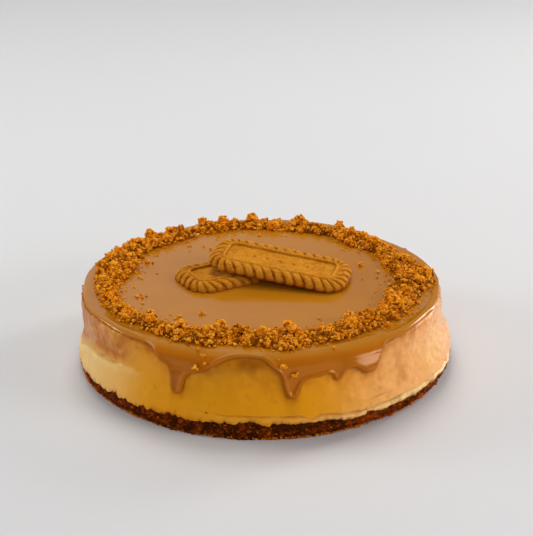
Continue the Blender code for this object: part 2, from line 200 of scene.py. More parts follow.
# Lone crumbs: on top as (x, y, size), and on the skirt as (angle, height, size).
STRAYS = (
    (54, 21, 4.0), (45, 45, 1.8), (54, 41, 1.6), (63, 11, 2.2), (62, 3, 1.5), (54, 1, 1.4),
    (-31, 46, 2.6), (-35, 50, 1.5), (-44, 51, 1.8), (-43, 44, 1.2), (-3, 68, 2.8),
    (-66, 26, 4.2), (-63, 25, 2.4), (-69, 4, 2.2), (-67, 2, 1.6), (-68, -23, 3.0),
    (-65, -24, 2.2), (-63, -22, 1.6), (-66, -20, 1.8), (-33, -45, 3.2), (-31, -45.5, 1.6),
    (-45, -49, 2.4), (-43.5, -48, 1.8), (-46, -51, 1.6), (28, -51, 1.8), (29, -53, 1.2),
    (-33, -88, 2.6), (34, -86, 2.0),
)
SKIRT_STRAYS = (
    (-108.5, 41.2, 3.4), (-109.5, 37.0, 3.6), (-110.6, 36.0, 2.2), (-107.2, 39.4, 2.5),
    (-84.8, 39.6, 3.8), (-85.9, 41.2, 2.0), (-81.8, 34.5, 3.0), (-80.9, 35.6, 2.0),
    (-82.4, 33.2, 1.6),
)

# The ring's loose crumbs by piece: their lumps (kinds, detail of the mesh, granules, size of a
# granule, seed) and their places (count, smallest and largest size, how far they spill past the
# ring, how high they lie in the heap).
RING_CRUMBS = {
    "ring_clumps": ((14, 4, 36, 0.13, 2), (120, 4.4, 8.0, 0.0, 0.75)),
    "ring_crumbs": ((16, 3, 15, 0.18, 9), (480, 2.4, 4.4, 0.05, 0.7)),
    "ring_bits": ((14, 2, 6, 0.28, 5), (1150, 1.3, 2.5, 0.08, 0.65)),
    "ring_grains": ((10, 1, 3, 0.36, 7), (1400, 0.7, 1.4, 0.1, 0.6)),
}

# How many more crumbs lie on the left rim, round the ring's edges and in the base, and the
# radius that those on the skirt and in the base keep within.
RIM_STRAYS = 80
RING_STRAYS = 170
BASE_CRUMBS = 1500
SKIRT_REACH = 101.5
BASE_REACH = 102.0

# Biscuits. BISCUIT_BORDER is the section of the raised border as (inset, depth under the top).
BISCUIT_LENGTH = 78.0
BISCUIT_WIDTH = 35.5
BISCUIT_THICK = 5.6
BISCUIT_CORNER = 12.5
BISCUIT_FLUTES = 37
FLUTE_DEPTH = 1.2
FLUTE_DROP = 1.5
BISCUIT_BORDER = (
    (8.6, 0.2), (8.3, 0.0), (7.9, 0.03), (7.6, 0.32), (7.2, 0.58), (6.7, 0.62), (6.1, 0.46),
    (5.4, 0.28), (4.7, 0.2), (4.0, 0.24), (3.3, 0.4), (2.7, 0.64), (2.1, 0.98), (1.55, 1.4),
    (1.05, 1.9), (0.6, 2.5), (0.25, 3.1), (0.05, 3.7),
)
PANEL_INSET = 9.3
PANEL_DEPTH = 1.4

# The pricked holes: count, distance apart, radius, depth, and how far out their raised rim lies.
DOCKER_HOLES = 5
DOCKER_PITCH = 7.5
DOCKER_RADIUS = 0.8
DOCKER_DEPTH = 1.3
DOCKER_RIM = 1.3

# Each biscuit: its node, place, turn, tone, and the seed of its grain.
BISCUITS = (
    ("biscuit_lower", (-11.2, 12.2, 42.2), (0.0, 0.0, 29.5), 0.64, 3.0),
    ("biscuit_upper", (8.6, 5.2, 48.1), (4.9, 6.2, -15.0), 0.74, 11.0),
)

# Colours, as the render's linear values.
CREAM = (0.84, 0.5, 0.13)
# Pale cream, which also paints highlights on the filling's bulges.
PALE_CREAM_AND_HIGHLIGHT = (0.95, 0.68, 0.27)
# Golden, used for the front, is partly painted shade; peach, used for the right, partly painted
# light.
GOLD_AND_SHADE = (0.85, 0.335, 0.003)
PEACH_AND_LIGHT = (0.94, 0.44, 0.14)
# Browned colour, which over the ledge on the left is partly painted shade.
BROWNED_AND_SHADE = (0.5, 0.135, 0.001)
YOLK = (0.92, 0.56, 0.05)
# Dark brown, which also paints shade in cracks, creases and pits and under the spread's edge.
DARK_BROWN_AND_SHADE = (0.27, 0.07, 0.002)
# The base's darkest colour is partly painted shade in its cracks.
BASE_DARK_AND_SHADE = (0.04, 0.006, 0.0004)
BASE_MAIN = (0.31, 0.047, 0.0013)
BASE_FLECK = (0.6, 0.14, 0.004)
# The crumbs' dark colour paints the shade in their crevices, and their light one paints highlights.
CRUMB_SHADE = (0.13, 0.02, 0.0003)
CRUMB_MAIN = (0.76, 0.235, 0.002)
CRUMB_HIGHLIGHT = (1.0, 0.49, 0.045)
SPREAD_MAIN = (0.47, 0.17, 0.005)
SPREAD_PALE = (0.49, 0.185, 0.008)
SPREAD_HANG = (0.5, 0.14, 0.001)
# Biscuit colours: the dark one is mostly painted shade, the light one pale patches and painted
# highlights.
BISCUIT_DARK_AND_SHADE = (0.28, 0.06, 0.001)
BISCUIT_MAIN = (0.62, 0.22, 0.008)
BISCUIT_PALE_AND_HIGHLIGHT = (0.8, 0.36, 0.035)
FLOOR_COOL = (0.715, 0.72, 0.728)
FLOOR_PALE = (0.74, 0.746, 0.755)
SPREAD_SHINE = (1.0, 0.74, 0.5, 1.0)
FILLING_SHINE = (1.0, 0.66, 0.28, 1.0)
CRUMB_SHINE = (1.0, 0.6, 0.25, 1.0)
STUDIO_AIR = (0.96, 0.97, 1.0, 1.0)

# Soft lights, in metres: place, point that they face, width and height, brightness, colour, and
# whether glossy things mirror them.
LIGHTS = {
    "top_window": ((-0.1, 0.75, 1.5), (0, 0, 0.03), (0.8, 0.8), 6.0, (1.0, 0.99, 0.97), False),
    "right_back_window": (
        (1.0, 0.75, 0.4), (0.05, 0, 0.03), (0.26, 0.8), 11.0, (1.0, 0.96, 0.93), True
    ),
    "right_window": (
        (1.12, -0.5, 0.5), (0.05, -0.05, 0.03), (0.56, 0.4), 9.0, (1.0, 0.94, 0.92), True
    ),
    "left_window": ((-1.2, 0.14, 0.5), (0, 0, 0.03), (0.62, 0.5), 3.9, (1.0, 0.98, 0.95), True),
    "left_glint": ((-1.2, 0.24, 0.5), (0, 0, 0.03), (0.16, 0.32), 11.0, (1.0, 0.97, 0.92), True),
    "front_fill": ((-0.5, -2.2, 1.3), (0, 0, 0.03), (1.6, 1.2), 1.68, (1.0, 0.98, 0.95), False),
}

# The camera, in metres: place, how far it looks down, how far it is turned, lens and sensor.
CAMERA_AT = (-0.0018, -0.7313, 0.3521)
CAMERA_DOWN = 22.42
CAMERA_TURN = -0.23
CAMERA_LENS = 97.25
CAMERA_SENSOR = 36.0

# A fixed turn, so that no row of lumps lines up with the cake's axes.
TILT = np.array(Euler((0.5, 0.7, 0.3)).to_matrix())


# Shape of the cake


def smooth(x, start, end):
    """0 before start, 1 after end, smooth between."""
    t = np.clip((x - start) / (end - start), 0, 1)
    return t * t * (3 - 2 * t)


def hump(angle, middle, reach):
    """1 at the middle angle, 0 beyond its reach to either side, smooth between."""
    return 1 - smooth(np.abs((angle - middle + 180) % 360 - 180), 0, reach)


def bell(x, width):
    """1 at 0, falling away smoothly to both sides over this width."""
    return np.exp(-((x / width) ** 2))


def curve(x, xs, ys):
    """Smooth curve through points, which never swings past them."""
    xs, ys = np.asarray(xs, float), np.asarray(ys, float)
    rise = np.diff(ys) / np.diff(xs)
    both = rise[:-1] * rise[1:]
    inner = np.where(both > 0, 2 * both / (rise[:-1] + rise[1:] + 1e-12), 0)
    slope = np.concatenate([[rise[0]], inner, [rise[-1]]])
    x = np.clip(x, xs[0], xs[-1])
    i = np.clip(np.searchsorted(xs, x, side="right") - 1, 0, len(xs) - 2)
    wide = xs[i + 1] - xs[i]
    t = (x - xs[i]) / wide
    start = (1 + 2 * t) * (1 - t) ** 2 * ys[i] + t * (1 - t) ** 2 * wide * slope[i]
    return start + t * t * (3 - 2 * t) * ys[i + 1] + t * t * (t - 1) * wide * slope[i + 1]


def ledge(angle, z):
    """Bulge under the ledge on the left side and hollow above it."""
    at, height = np.array(LEDGE_LINE, float).T
    above = z - curve(angle, at, height) - 0.5 * rough_round(angle, 4.5, 2, 81.0)
    along = smooth(angle, at[0] - 3, at[0] + 8) * (1 - smooth(angle, at[-1] - 9, at[-1]))
    below = LEDGE_OUT * bell(np.maximum(0, -above), 6)
    over = -LEDGE_IN * bell(np.maximum(0, above), 7)
    return along * (over + (below - over) * smooth(-above, -0.4, 0.4))


def seam_height(angle):
    """Height of the seam round the front."""
    at, height = np.array(SEAM_LINE, float).T
    return curve(angle, at, height) + 0.35 * rough_round(angle, 4.0, 3, 71.0)


def seam_share(angle):
    """1 along the seam, fading out at its ends."""
    return smooth(angle, -116, -94) * (1 - smooth(angle, -20, -8))


def over_second_crack(angle, z):
    """How far points lie over the short second crack."""
    middle, _, height, rise = SECOND_CRACK
    return z - height - rise * (angle - middle)


def seam(angle, z):
    """Depth of the cracks, deeper and shallower by turns, less the bead under the long one."""
    patchy = np.clip(0.75 + 0.9 * rough_round(angle, 6.0, 3, 33.0), 0.15, 1.3)
    below = z - seam_height(angle)
    crack = (0.7 + 0.5 * smooth(angle, -95, -65)) * patchy * bell(below, 0.4)
    crack = crack * (1 - 0.55 * smooth(angle, -60, -45))
    bead = (0.25 + 0.7 * smooth(angle, -85, -55)) * bell(below + 1.5, 1.1) * (0.6 + 0.6 * patchy)
    above = over_second_crack(angle, z) - 0.2 * np.sin(np.radians(61 * angle))
    second = 0.6 * patchy * hump(angle, *SECOND_CRACK[:2]) * bell(above, 0.4)
    return seam_share(angle) * (crack - bead) + second


def side_radius(angle, z):
    """Radius of the cake's side, from its left and right outlines, with slow waves round it."""
    share = 0.5 + 0.5 * np.cos(np.radians(angle))
    radius = share * curve(z, SIDE_Z, SIDE_RIGHT) + (1 - share) * curve(z, SIDE_Z, SIDE_LEFT)
    radius = radius + SLOW_WAVE * np.sin(np.radians(5 * angle) + 0.09 * z)
    radius = radius + SHORT_WAVE * np.sin(np.radians(9 * angle + 60) - 0.13 * z)
    return radius + ledge(angle, z)


def layer_edge(angle):
    """Height at the outside where the base meets the filling, ragged all round."""
    level = 7.8 + 1.5 * hump(angle, -85, 60) + 0.5 * hump(angle, -30, 25)
    level = level - 2.6 * hump(angle, -172, 26)
    return level + 1.3 * rough_round(angle, 5.0, 2, 3.3) + rough_round(angle, 1.7, 2, 6.1)


def flow_share(angle):
    """1 where the spread flows over the side, 0 where its rim stays rolled."""
    front = smooth(angle, -142, -124) * (1 - smooth(angle, -55, -43))
    return np.maximum(front, np.maximum(hump(angle, 42, 22), hump(angle, 126, 22)))


def rounding(angle):
    """How wide and how tall the filling's rounded top edge is, and its length over the skin."""
    flow = flow_share(angle)
    wide, tall = (
        rolled + (flowing - rolled) * flow for rolled, flowing in zip(ROLLED_ROUND, FLOWING_ROUND)
    )
    return wide, tall, math.pi / 2 * np.sqrt((wide**2 + tall**2) / 2)


def over_side(angle, down):
    """The filling's skin this far down from where its top starts to round over.

    It gives the radius, the height, and how far the skin faces outward and upward.
    """
    wide, tall, arc = rounding(angle)
    turn = np.clip(down / arc, 0, 1) * math.pi / 2
    z = FILLING_TOP - tall * (1 - np.cos(turn)) - np.maximum(0, down - arc)
    radius = side_radius(angle, z) - wide * (1 - np.sin(turn))
    out, up = tall * np.sin(turn), wide * np.cos(turn)
    size = np.hypot(out, up)
    return radius, z, out / size, up / size


def edge_down(angle):
    """How far down the skin the spread's lower edge lies."""
    seen = spread_edge(angle) - 0.7 * (1 - flow_share(angle))
    down = np.linspace(0, 32, 321)
    radius, z, _, _ = over_side(angle[:, None], down[None, :])
    lean = LEAN * np.maximum(0, -np.sin(np.radians(angle)))[:, None]
    rim = side_radius(angle, np.full(len(angle), 40.0))[:, None]
    looks = z + lean * (rim - radius) * (z > 36)
    first = np.maximum(1, np.argmax(looks <= seen[:, None], axis=1))
    each = np.arange(len(angle))
    above, below = looks[each, first - 1], looks[each, first]
    part = np.clip((above - seen) / np.maximum(above - below, 1e-6), 0, 1)
    return down[first - 1] + (down[1] - down[0]) * part


def edge_height(angle):
    """Height of the spread's lower edge on the skin."""
    return over_side(angle, edge_down(angle))[1]


def spread_edge(angle):
    """Height of the lower edge of the spread at each angle, as it looks from the front."""
    waves = 0.25 * np.sin(np.radians(7 * angle)), 0.2 * np.sin(np.radians(13 * angle))
    height = ROLLED_EDGE - waves[0] - waves[1]
    for start, full, full_end, end, depth in BACK_APRONS:
        height = height - depth * smooth(angle, start, full) * (1 - smooth(angle, full_end, end))
    lowest = height
    for middle, half, tip in BACK_DRIPS:
        away = np.abs(angle - middle) / half
        body = (1 - np.minimum(away, 1) ** 2.6) ** (1 / 2.6)
        drip = np.minimum(1.0, 0.84 * body + 0.16 * bell(away, 1.7))
        lowest = np.minimum(lowest, height - (height - tip) * drip)
    at, z = np.array(FRONT_EDGE, float).T
    front = smooth(angle, at[0], at[0] + 8) * (1 - smooth(angle, at[-1] - 8, at[-1]))
    return lowest + front * (curve(angle, at, z) - lowest)


def edge_distance(angle, height, edge):
    """Distance of points on the side from a line on it, which edge gives at each angle."""
    path = np.stack([FINE_ROUND * SIDE_RADIUS * math.pi / 180, edge(FINE_ROUND)], -1)
    steps = np.linalg.norm(np.diff(path, axis=0), axis=1) / EDGE_STEP
    steps = np.maximum(1, np.ceil(steps)).astype(int)
    dense = [
        path[i] + (path[i + 1] - path[i]) * k / n for i, n in enumerate(steps) for k in range(n)
    ]
    tree = kdtree.KDTree(len(dense))
    for i, (x, z) in enumerate(dense):
        tree.insert((x, z, 0), i)
    tree.balance()
    places = zip(angle * SIDE_RADIUS * math.pi / 180, height)
    return np.array([tree.find((x, z, 0))[2] for x, z in places])


# Unevenness


def scrambled(cells, seed):
    """A repeatable value from 0 to 1 for each cell with whole-number places."""
    x, y, z = np.moveaxis(cells.astype(np.int64), -1, 0)
    value = (x * 73856093 ^ y * 19349663 ^ z * 83492791 ^ int(seed * 1000003)) & 0xFFFFFFFF
    value = ((value ^ value >> 15) * 2246822519) & 0xFFFFFFFF
    value = ((value ^ value >> 13) * 3266489917) & 0xFFFFFFFF
    return ((value ^ value >> 16) & 0xFFFFFF) / 0xFFFFFF


def rough(points, size, octaves=3, seed=0.0):
    """Uneven value between about -1 and 1 at each point, with lumps of this size."""
    total = np.zeros(len(points))
    for octave in range(octaves):
        place = points @ TILT * (2.0**octave / size) + 17.3 * octave + seed
        cell = np.floor(place)
        part = place - cell
        part = part * part * (3 - 2 * part)
        for corner in itertools.product((0, 1), repeat=3):
            weight = np.prod(np.where(np.array(corner) == 1, part, 1 - part), axis=1)
            total += 0.5**octave * weight * (2 * scrambled(cell + corner, seed) - 1)
    return total


def rough_round(angle, size, octaves, seed):
    """The same, along the side at these angles."""
    flat = from_polar(np.ravel(angle), SIDE_RADIUS, 0.0)
    return rough(flat, size, octaves, seed).reshape(np.shape(angle))


def cobbles(points, size, seed=0.0):
    """Height over lumps of this size, 0 in the cracks and about 1 on top; a value for each lump."""
    place = points @ TILT / size + seed
    cell = np.floor(place)
    first, second = np.full(len(points), 9.0), np.full(len(points), 9.0)
    value = np.zeros(len(points))
    for step in itertools.product((-1, 0, 1), repeat=3):
        near = cell + step
        centre = near + np.stack([scrambled(near, seed + k) for k in (1, 2, 3)], -1)
        away = np.linalg.norm(place - centre, axis=1)
        value = np.where(away < first, scrambled(near, seed + 4), value)
        second = np.minimum(second, np.maximum(first, away))
        first = np.minimum(first, away)
    return second - first, value


# Making meshes


def new_piece(name, bm):
    """An object that holds the bmesh, which is freed."""
    mesh = bpy.data.meshes.new(name)
    bm.to_mesh(mesh)
    bm.free()
    obj = bpy.data.objects.new(name, mesh)
    bpy.context.scene.collection.objects.link(obj)
    return obj


def sheet(name, columns, rows):
    """A flat sheet to be bent round, and the column and row of each of its points."""
    bm = bmesh.new()
    bmesh.ops.create_grid(bm, x_segments=columns, y_segments=rows - 1, size=0.5)
    obj = new_piece(name, bm)
    flat = coordinates(obj)
    column = np.round((flat[:, 0] + 0.5) * columns).astype(int)
    return obj, column, np.round((flat[:, 1] + 0.5) * (rows - 1)).astype(int)


def round_angle(column, columns):
    """Angle of each point of a sheet with evenly spaced columns."""
    return column / columns * 360 - 180


def close_up(obj, points, **layers):
    """Bends the sheet to its points, keeps its values, and welds it into one closed skin."""
    low, high = (np.array(corner) / MM for corner in CAD_BOX)
    points = np.clip(points, low + CLEARANCE, high - CLEARANCE)
    points[:, 2] = np.maximum(points[:, 2], 0.0)
    obj.data.vertices.foreach_set("co", np.asarray(points, np.float32).ravel())
    for name, values in layers.items():
        keep_values(obj.data, name, np.clip(values, 0, 1))
    bm = bmesh.new()
    bm.from_mesh(obj.data)
    bmesh.ops.remove_doubles(bm, verts=bm.verts, dist=1e-4)
    bmesh.ops.recalc_face_normals(bm, faces=bm.faces)
    bm.to_mesh(obj.data)
    bm.free()


def keep_values(mesh, name, values):
    """Gives each point of a mesh its own value, which the materials read."""
    attribute = mesh.attributes.new(name, "FLOAT", "POINT")
    attribute.data.foreach_set("value", np.asarray(values, np.float32))


def coordinates(obj):
    """The piece's points as an array."""
    points = np.empty(len(obj.data.vertices) * 3, np.float32)
    obj.data.vertices.foreach_get("co", points)
    return points.reshape(-1, 3).astype(float)


def from_polar(angle, radius, z):
    """Points at these angles, radii and heights."""
    a = np.radians(angle)
    return np.stack(np.broadcast_arrays(radius * np.cos(a), radius * np.sin(a), z), -1)


def spaced(low, high, count):
    """Evenly spaced values from low to high, without the last."""
    return [low + (high - low) * i / count for i in range(count)]


def finish_piece(obj, material, *nodes, smooth_faces=True):
    """Brings a piece to metres, gives it its material and lets it stand for its CAD nodes."""
    obj.data.transform(Matrix.Scale(MM, 4))
    obj.data.materials.append(material)
    obj.data.polygons.foreach_set("use_smooth", [smooth_faces] * len(obj.data.polygons))
    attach(obj, "root")
    if nodes:
        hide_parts(*nodes)
    return obj


# Materials


def group(name, inputs, outputs):
    """An empty shader node group with these sockets."""
    tree = bpy.data.node_groups.new(name, "ShaderNodeTree")
    for label, kind, value in inputs:
        socket = tree.interface.new_socket(label, in_out="INPUT", socket_type=kind)
        if value is not None:
            socket.default_value = value
    for label, kind in outputs:
        tree.interface.new_socket(label, in_out="OUTPUT", socket_type=kind)
    return tree, tree.nodes.new("NodeGroupInput"), tree.nodes.new("NodeGroupOutput")


def feed(tree, socket, value):
    """Links another node's output to a socket, or sets the socket to a value."""
    if isinstance(value, bpy.types.NodeSocket):
        tree.links.new(value, socket)
    else:
        socket.default_value = value


def add(tree, kind, values=None, **settings):
    """A node with settings, and values or links for its inputs by name or number."""
    node = tree.nodes.new(kind)
    for key, value in settings.items():
        setattr(node, key, value)
    for key, value in (values or {}).items():
        feed(tree, node.inputs[key], value)
    return node


def maths(tree, operation, a, b=0.0, clamp=False):
    """One sum on two values."""
    node = add(tree, "ShaderNodeMath", {0: a, 1: b}, operation=operation, use_clamp=clamp)
    return node.outputs[0]


def mix(tree, share, a, b):
    """Two colours mixed."""
    node = add(tree, "ShaderNodeMix", {"Factor": share}, data_type="RGBA")
    for socket, value in ((node.inputs[6], a), (node.inputs[7], b)):
        feed(tree, socket, value if isinstance(value, bpy.types.NodeSocket) else (*value, 1.0))
    return node.outputs[2]


def fade(tree, value, low, high, out_low=0.0, out_high=1.0):
    """Value mapped smoothly from one range to another."""
    ranges = {"From Min": low, "From Max": high, "To Min": out_low, "To Max": out_high}
    node = add(
        tree, "ShaderNodeMapRange", {"Value": value, **ranges}, interpolation_type="SMOOTHSTEP"
    )
    return node.outputs["Result"]


def own_value(tree, name):
    """The value that the piece's points carry under this name."""
    return add(tree, "ShaderNodeAttribute", attribute_name=name).outputs["Fac"]


def noise(tree, vector, scale, **values):
    """Soft noise at this scale."""
    values = {key.title(): value for key, value in values.items()}
    node = add(tree, "ShaderNodeTexNoise", {"Vector": vector, "Scale": scale, **values})
    return node.outputs["Fac"]


def patches_group():
    """Browned and pale patches: a mask from two sizes of noise."""
    tree, inside, out = group(
        "browning_patches",
        [
            ("Vector", "NodeSocketVector", None),
            ("Scale", "NodeSocketFloat", 60.0),
            ("Sharpness", "NodeSocketFloat", 0.5),
        ],
        [("Mask", "NodeSocketFloat")],
    )
    vector, scale, sharpness, _ = inside.outputs
    large = noise(tree, vector, scale, detail=4.0, roughness=0.6)
    small = noise(tree, vector, maths(tree, "MULTIPLY", scale, 4.3), detail=3.0)
    large, small = maths(tree, "MULTIPLY", large, 0.7), maths(tree, "MULTIPLY", small, 0.3)
    low = maths(tree, "MULTIPLY_ADD", sharpness, 0.2)
    low.node.inputs[2].default_value = 0.3
    high = maths(tree, "SUBTRACT", 1.0, low)
    mask = fade(tree, maths(tree, "ADD", large, small), low, high)
    tree.links.new(mask, out.inputs["Mask"])
    return tree


def grain_group():
    """Fine baked grain: a height from noise and from small pits that come in clusters."""
    tree, inside, out = group(
        "baked_grain",
        [
            ("Vector", "NodeSocketVector", None),
            ("Scale", "NodeSocketFloat", 900.0),
            ("Pits", "NodeSocketFloat", 0.3),
        ],
        [("Height", "NodeSocketFloat")],
    )
    vector, scale, pits, _ = inside.outputs
    soft = noise(tree, vector, scale, detail=5.0, roughness=0.65)
    cell_scale = maths(tree, "MULTIPLY", scale, 0.45)
    cells = add(tree, "ShaderNodeTexVoronoi", {"Vector": vector, "Scale": cell_scale})
    pit = fade(tree, cells.outputs["Distance"], 0.08, 0.3, 1.0, 0.0)
    rare = noise(tree, vector, maths(tree, "MULTIPLY", scale, 0.12))
    pit = maths(tree, "MULTIPLY", pit, fade(tree, rare, 0.5, 0.65))
    height = maths(tree, "SUBTRACT", soft, maths(tree, "MULTIPLY", pit, pits))
    tree.links.new(height, out.inputs["Height"])
    return tree


PATCHES = patches_group()
GRAIN = grain_group()


def use_group(tree, source, vector, **values):
    """Places a node group with its values, and gives its one output."""
    node = tree.nodes.new("ShaderNodeGroup")
    node.node_tree = source
    tree.links.new(vector, node.inputs["Vector"])
    for key, value in values.items():
        node.inputs[key.title()].default_value = value
    return node.outputs[0]


def start_material(name, roughness, ior_level=0.5, tint=(1.0, 1.0, 1.0, 1.0)):
    """A material with its shader, and the object's coordinates."""
    material = bpy.data.materials.new(name)
    material.use_nodes = True
    tree = material.node_tree
    shader = tree.nodes["Principled BSDF"]
    shader.inputs["Roughness"].default_value = roughness
    shader.inputs["Specular IOR Level"].default_value = ior_level
    shader.inputs["Specular Tint"].default_value = tint
    place = add(tree, "ShaderNodeTexCoord").outputs["Object"]
    return material, tree, shader, place


def bump(tree, shader, height, distance, strength):
    """Feeds a height into the shader's normal."""
    values = {"Height": height, "Strength": strength, "Distance": distance}
    node = add(tree, "ShaderNodeBump", values)
    tree.links.new(node.outputs["Normal"], shader.inputs["Normal"])


def filling_material():
    """Baked filling: cream; golden at the front, partly painted shade; peach at the right, partly
    painted light; with its own values.
    """
    material, tree, shader, place = start_material("baked_filling", 0.5, 0.42, FILLING_SHINE)
    x, y, _ = add(tree, "ShaderNodeSeparateXYZ", {0: place}).outputs
    patches = use_group(tree, PATCHES, place, scale=60.0, sharpness=0.4)
    flatter = add(tree, "ShaderNodeMapping", {"Vector": place, "Scale": (1.0, 1.0, 0.6)})
    streaks = use_group(tree, PATCHES, flatter.outputs[0], scale=110.0, sharpness=0.3)
    # Golden towards the front is partly painted shade, peach towards the right partly painted
    # light.
    colour = mix(tree, fade(tree, y, -0.035, -0.088), CREAM, GOLD_AND_SHADE)
    colour = mix(tree, fade(tree, x, 0.022, 0.075), colour, PEACH_AND_LIGHT)
    colour = mix(tree, maths(tree, "MULTIPLY", streaks, 0.05), colour, YOLK)
    uneven = fade(tree, patches, 0.0, 1.0, 0.82, 1.15)
    # The brown mask is partly painted shade and the pale mask partly painted highlight.
    for name, mask_colour in (("brown", BROWNED_AND_SHADE), ("pale", PALE_CREAM_AND_HIGHLIGHT)):
        share = maths(tree, "MULTIPLY", own_value(tree, name), uneven, clamp=True)
        colour = mix(tree, share, colour, mask_colour)
    # Dark brown marks, partly painted shade.
    colour = mix(tree, own_value(tree, "dark"), colour, DARK_BROWN_AND_SHADE)
    tree.links.new(colour, shader.inputs["Base Color"])
    smoother = fade(tree, x, 0.04, 0.09, 0.0, 0.13)
    matt = maths(tree, "SUBTRACT", fade(tree, patches, 0.0, 1.0, 0.3, 0.5), smoother)
    tree.links.new(matt, shader.inputs["Roughness"])
    bump(tree, shader, use_group(tree, GRAIN, place, scale=420.0, pits=0.6), 0.0002, 0.6)
    return material


def crumb_material(name, deep, main, light, scale):
    """Crumbs: golden brown, each a little different, in painted shade where tone is low, with
    painted highlights on high grains.
    """
    material, tree, shader, place = start_material(name, 0.8, 0.1, CRUMB_SHINE)
    tone = own_value(tree, "tone")
    fleck = use_group(tree, PATCHES, place, scale=scale * 0.5, sharpness=0.9)
    colour = mix(tree, fade(tree, tone, 0.0, 0.7), deep, main)
    lit = maths(tree, "MULTIPLY", fleck, fade(tree, tone, 0.35, 1.0, 0.05, 0.9))
    tree.links.new(mix(tree, lit, colour, light), shader.inputs["Base Color"])
    tree.links.new(fade(tree, fleck, 0.0, 1.0, 0.85, 0.65), shader.inputs["Roughness"])
    bump(tree, shader, use_group(tree, GRAIN, place, scale=scale, pits=0.5), 0.0004, 0.9)
    return material


def spread_material():
    """Poured spread: caramel brown and glossy, more orange where it hangs over the side."""
    material, tree, shader, place = start_material("poured_spread", 0.12, 0.4, SPREAD_SHINE)
    hang = own_value(tree, "hang")
    patches = use_group(tree, PATCHES, place, scale=22.0, sharpness=0.2)
    colour = mix(tree, hang, mix(tree, patches, SPREAD_MAIN, SPREAD_PALE), SPREAD_HANG)
    tree.links.new(colour, shader.inputs["Base Color"])
    softer = maths(tree, "MULTIPLY", hang, 0.06)
    softer = maths(tree, "ADD", fade(tree, patches, 0.0, 1.0, 0.12, 0.18), softer)
    tree.links.new(softer, shader.inputs["Roughness"])
    return material


def biscuit_material():
    """Biscuit: golden brown, painted highlight on its raised edges, painted shade in flutes and
    hollows; paler in the panel.
    """
    material, tree, shader, place = start_material("baked_biscuit", 0.75, 0.12, CRUMB_SHINE)
    tone = own_value(tree, "tone")
    patches = use_group(tree, PATCHES, place, scale=120.0, sharpness=0.5)
    fleck = use_group(tree, PATCHES, place, scale=900.0, sharpness=0.9)
    colour = mix(tree, tone, BISCUIT_DARK_AND_SHADE, BISCUIT_MAIN)
    colour = mix(tree, maths(tree, "MULTIPLY", patches, 0.3), colour, BISCUIT_PALE_AND_HIGHLIGHT)
    lit = maths(tree, "MULTIPLY", fleck, fade(tree, tone, 0.3, 0.9, 0.1, 0.6))
    tree.links.new(mix(tree, lit, colour, BISCUIT_PALE_AND_HIGHLIGHT), shader.inputs["Base Color"])
    bump(tree, shader, use_group(tree, GRAIN, place, scale=1500.0, pits=0.5), 0.00035, 0.9)
    return material


def floor_material():
    """Plain pale floor."""
    material, tree, shader, place = start_material("pale_floor", 0.6)
    colour = mix(tree, noise(tree, place, 3.0, detail=2.0), FLOOR_COOL, FLOOR_PALE)
    tree.links.new(colour, shader.inputs["Base Color"])
    return material


# Pieces


def make_filling(material):
    """The filling, tucked under at the base, with its seam, ledge, waves and rounded top edge."""
    nominal = spaced(FILLING_FOOT, LAYER_Z, 6) + spaced(LAYER_Z, 11.6, 8)
    nominal += spaced(11.6, 13.4, 12) + spaced(13.4, PLAIN_Z, 9) + spaced(PLAIN_Z, TURN_Z, 34)
    first, turned = 2 + len(nominal), 16
    obj, column, row = sheet("filling_baked", FILLING_COLUMNS, first + turned + 2)
    angle = round_angle(column, FILLING_COLUMNS)
    level = np.array([FILLING_FOOT] * 2 + nominal + [TURN_Z] * turned + [41.6, 41.3])[row]
    drawn_in = np.array([TO_AXIS, 12.0] + [0.0] * (first - 2 + turned) + [14.0, TO_AXIS])[row]
    edge, crack = layer_edge(angle), seam_height(angle)
    to_seam = edge + (level - LAYER_Z) / (SEAM_Z - LAYER_Z) * (crack - edge)
    past_seam = crack + (level - SEAM_Z) / (PLAIN_Z - SEAM_Z) * (PLAIN_Z - crack)
    z = np.where(level < LAYER_Z, edge + level - LAYER_Z, level)
    z = np.where((level >= LAYER_Z) & (level < SEAM_Z), to_seam, z)
    z = np.where((level >= SEAM_Z) & (level < PLAIN_Z), past_seam, z)
    radius = side_radius(angle, z) - seam(angle, z) - 1.9 * smooth(edge - z, -0.2, 1.4)
    # Rows that go over the rounded top edge.
    over = (row >= first) & (row < first + turned)
    _, tall, arc = rounding(angle[over])
    left = 1 - (row[over] - first + 1) / turned
    down = (arc + FILLING_TOP - tall - TURN_Z) * left
    radius[over], z[over], _, _ = over_side(angle[over], down)
    spots = from_polar(angle, SIDE_RADIUS, z)
    wall, right = smooth(FILLING_TOP - z, 0, 1.5), smooth(angle, *RIGHT_SIDE)
    lumps = 0.35 * rough(spots * (1, 1, 0.8), 9.0, 3, 3.1) + 0.1 * rough(spots, 1.6, 2, 8.0)
    radius += wall * lumps
    lumps = 0.26 * rough(spots * (1, 1, 1.4), 4.2, 2, 14.0) - 0.2 * filling_pits(spots)
    radius += wall * right * lumps
    wrinkle = bell(np.abs(rough(spots * (1, 1, 0.35), 4.0, 2, 12.0)), 0.05)
    wrinkled = smooth(rough(spots, 14.0, 2, 1.0), -0.1, 0.35)
    radius -= wall * smooth(z, 30, 39) * 0.14 * (1 - 0.8 * right) * wrinkle * wrinkled
    brown, pale, dark = filling_tint(angle, z, spots, edge, crack)
    radius = np.maximum(0.0, radius - drawn_in)
    close_up(obj, from_polar(angle, radius, z), brown=brown, pale=pale, dark=dark)
    return finish_piece(obj, material, "cheesecake_filling")


def filling_pits(spots):
    """1 in the small pits that burst bubbles left in the filling."""
    clusters = smooth(rough(spots, 8.0, 1, 95.0), -0.2, 0.3)
    return smooth(rough(spots, 1.6, 1, 91.0), 0.5, 0.8) * clusters


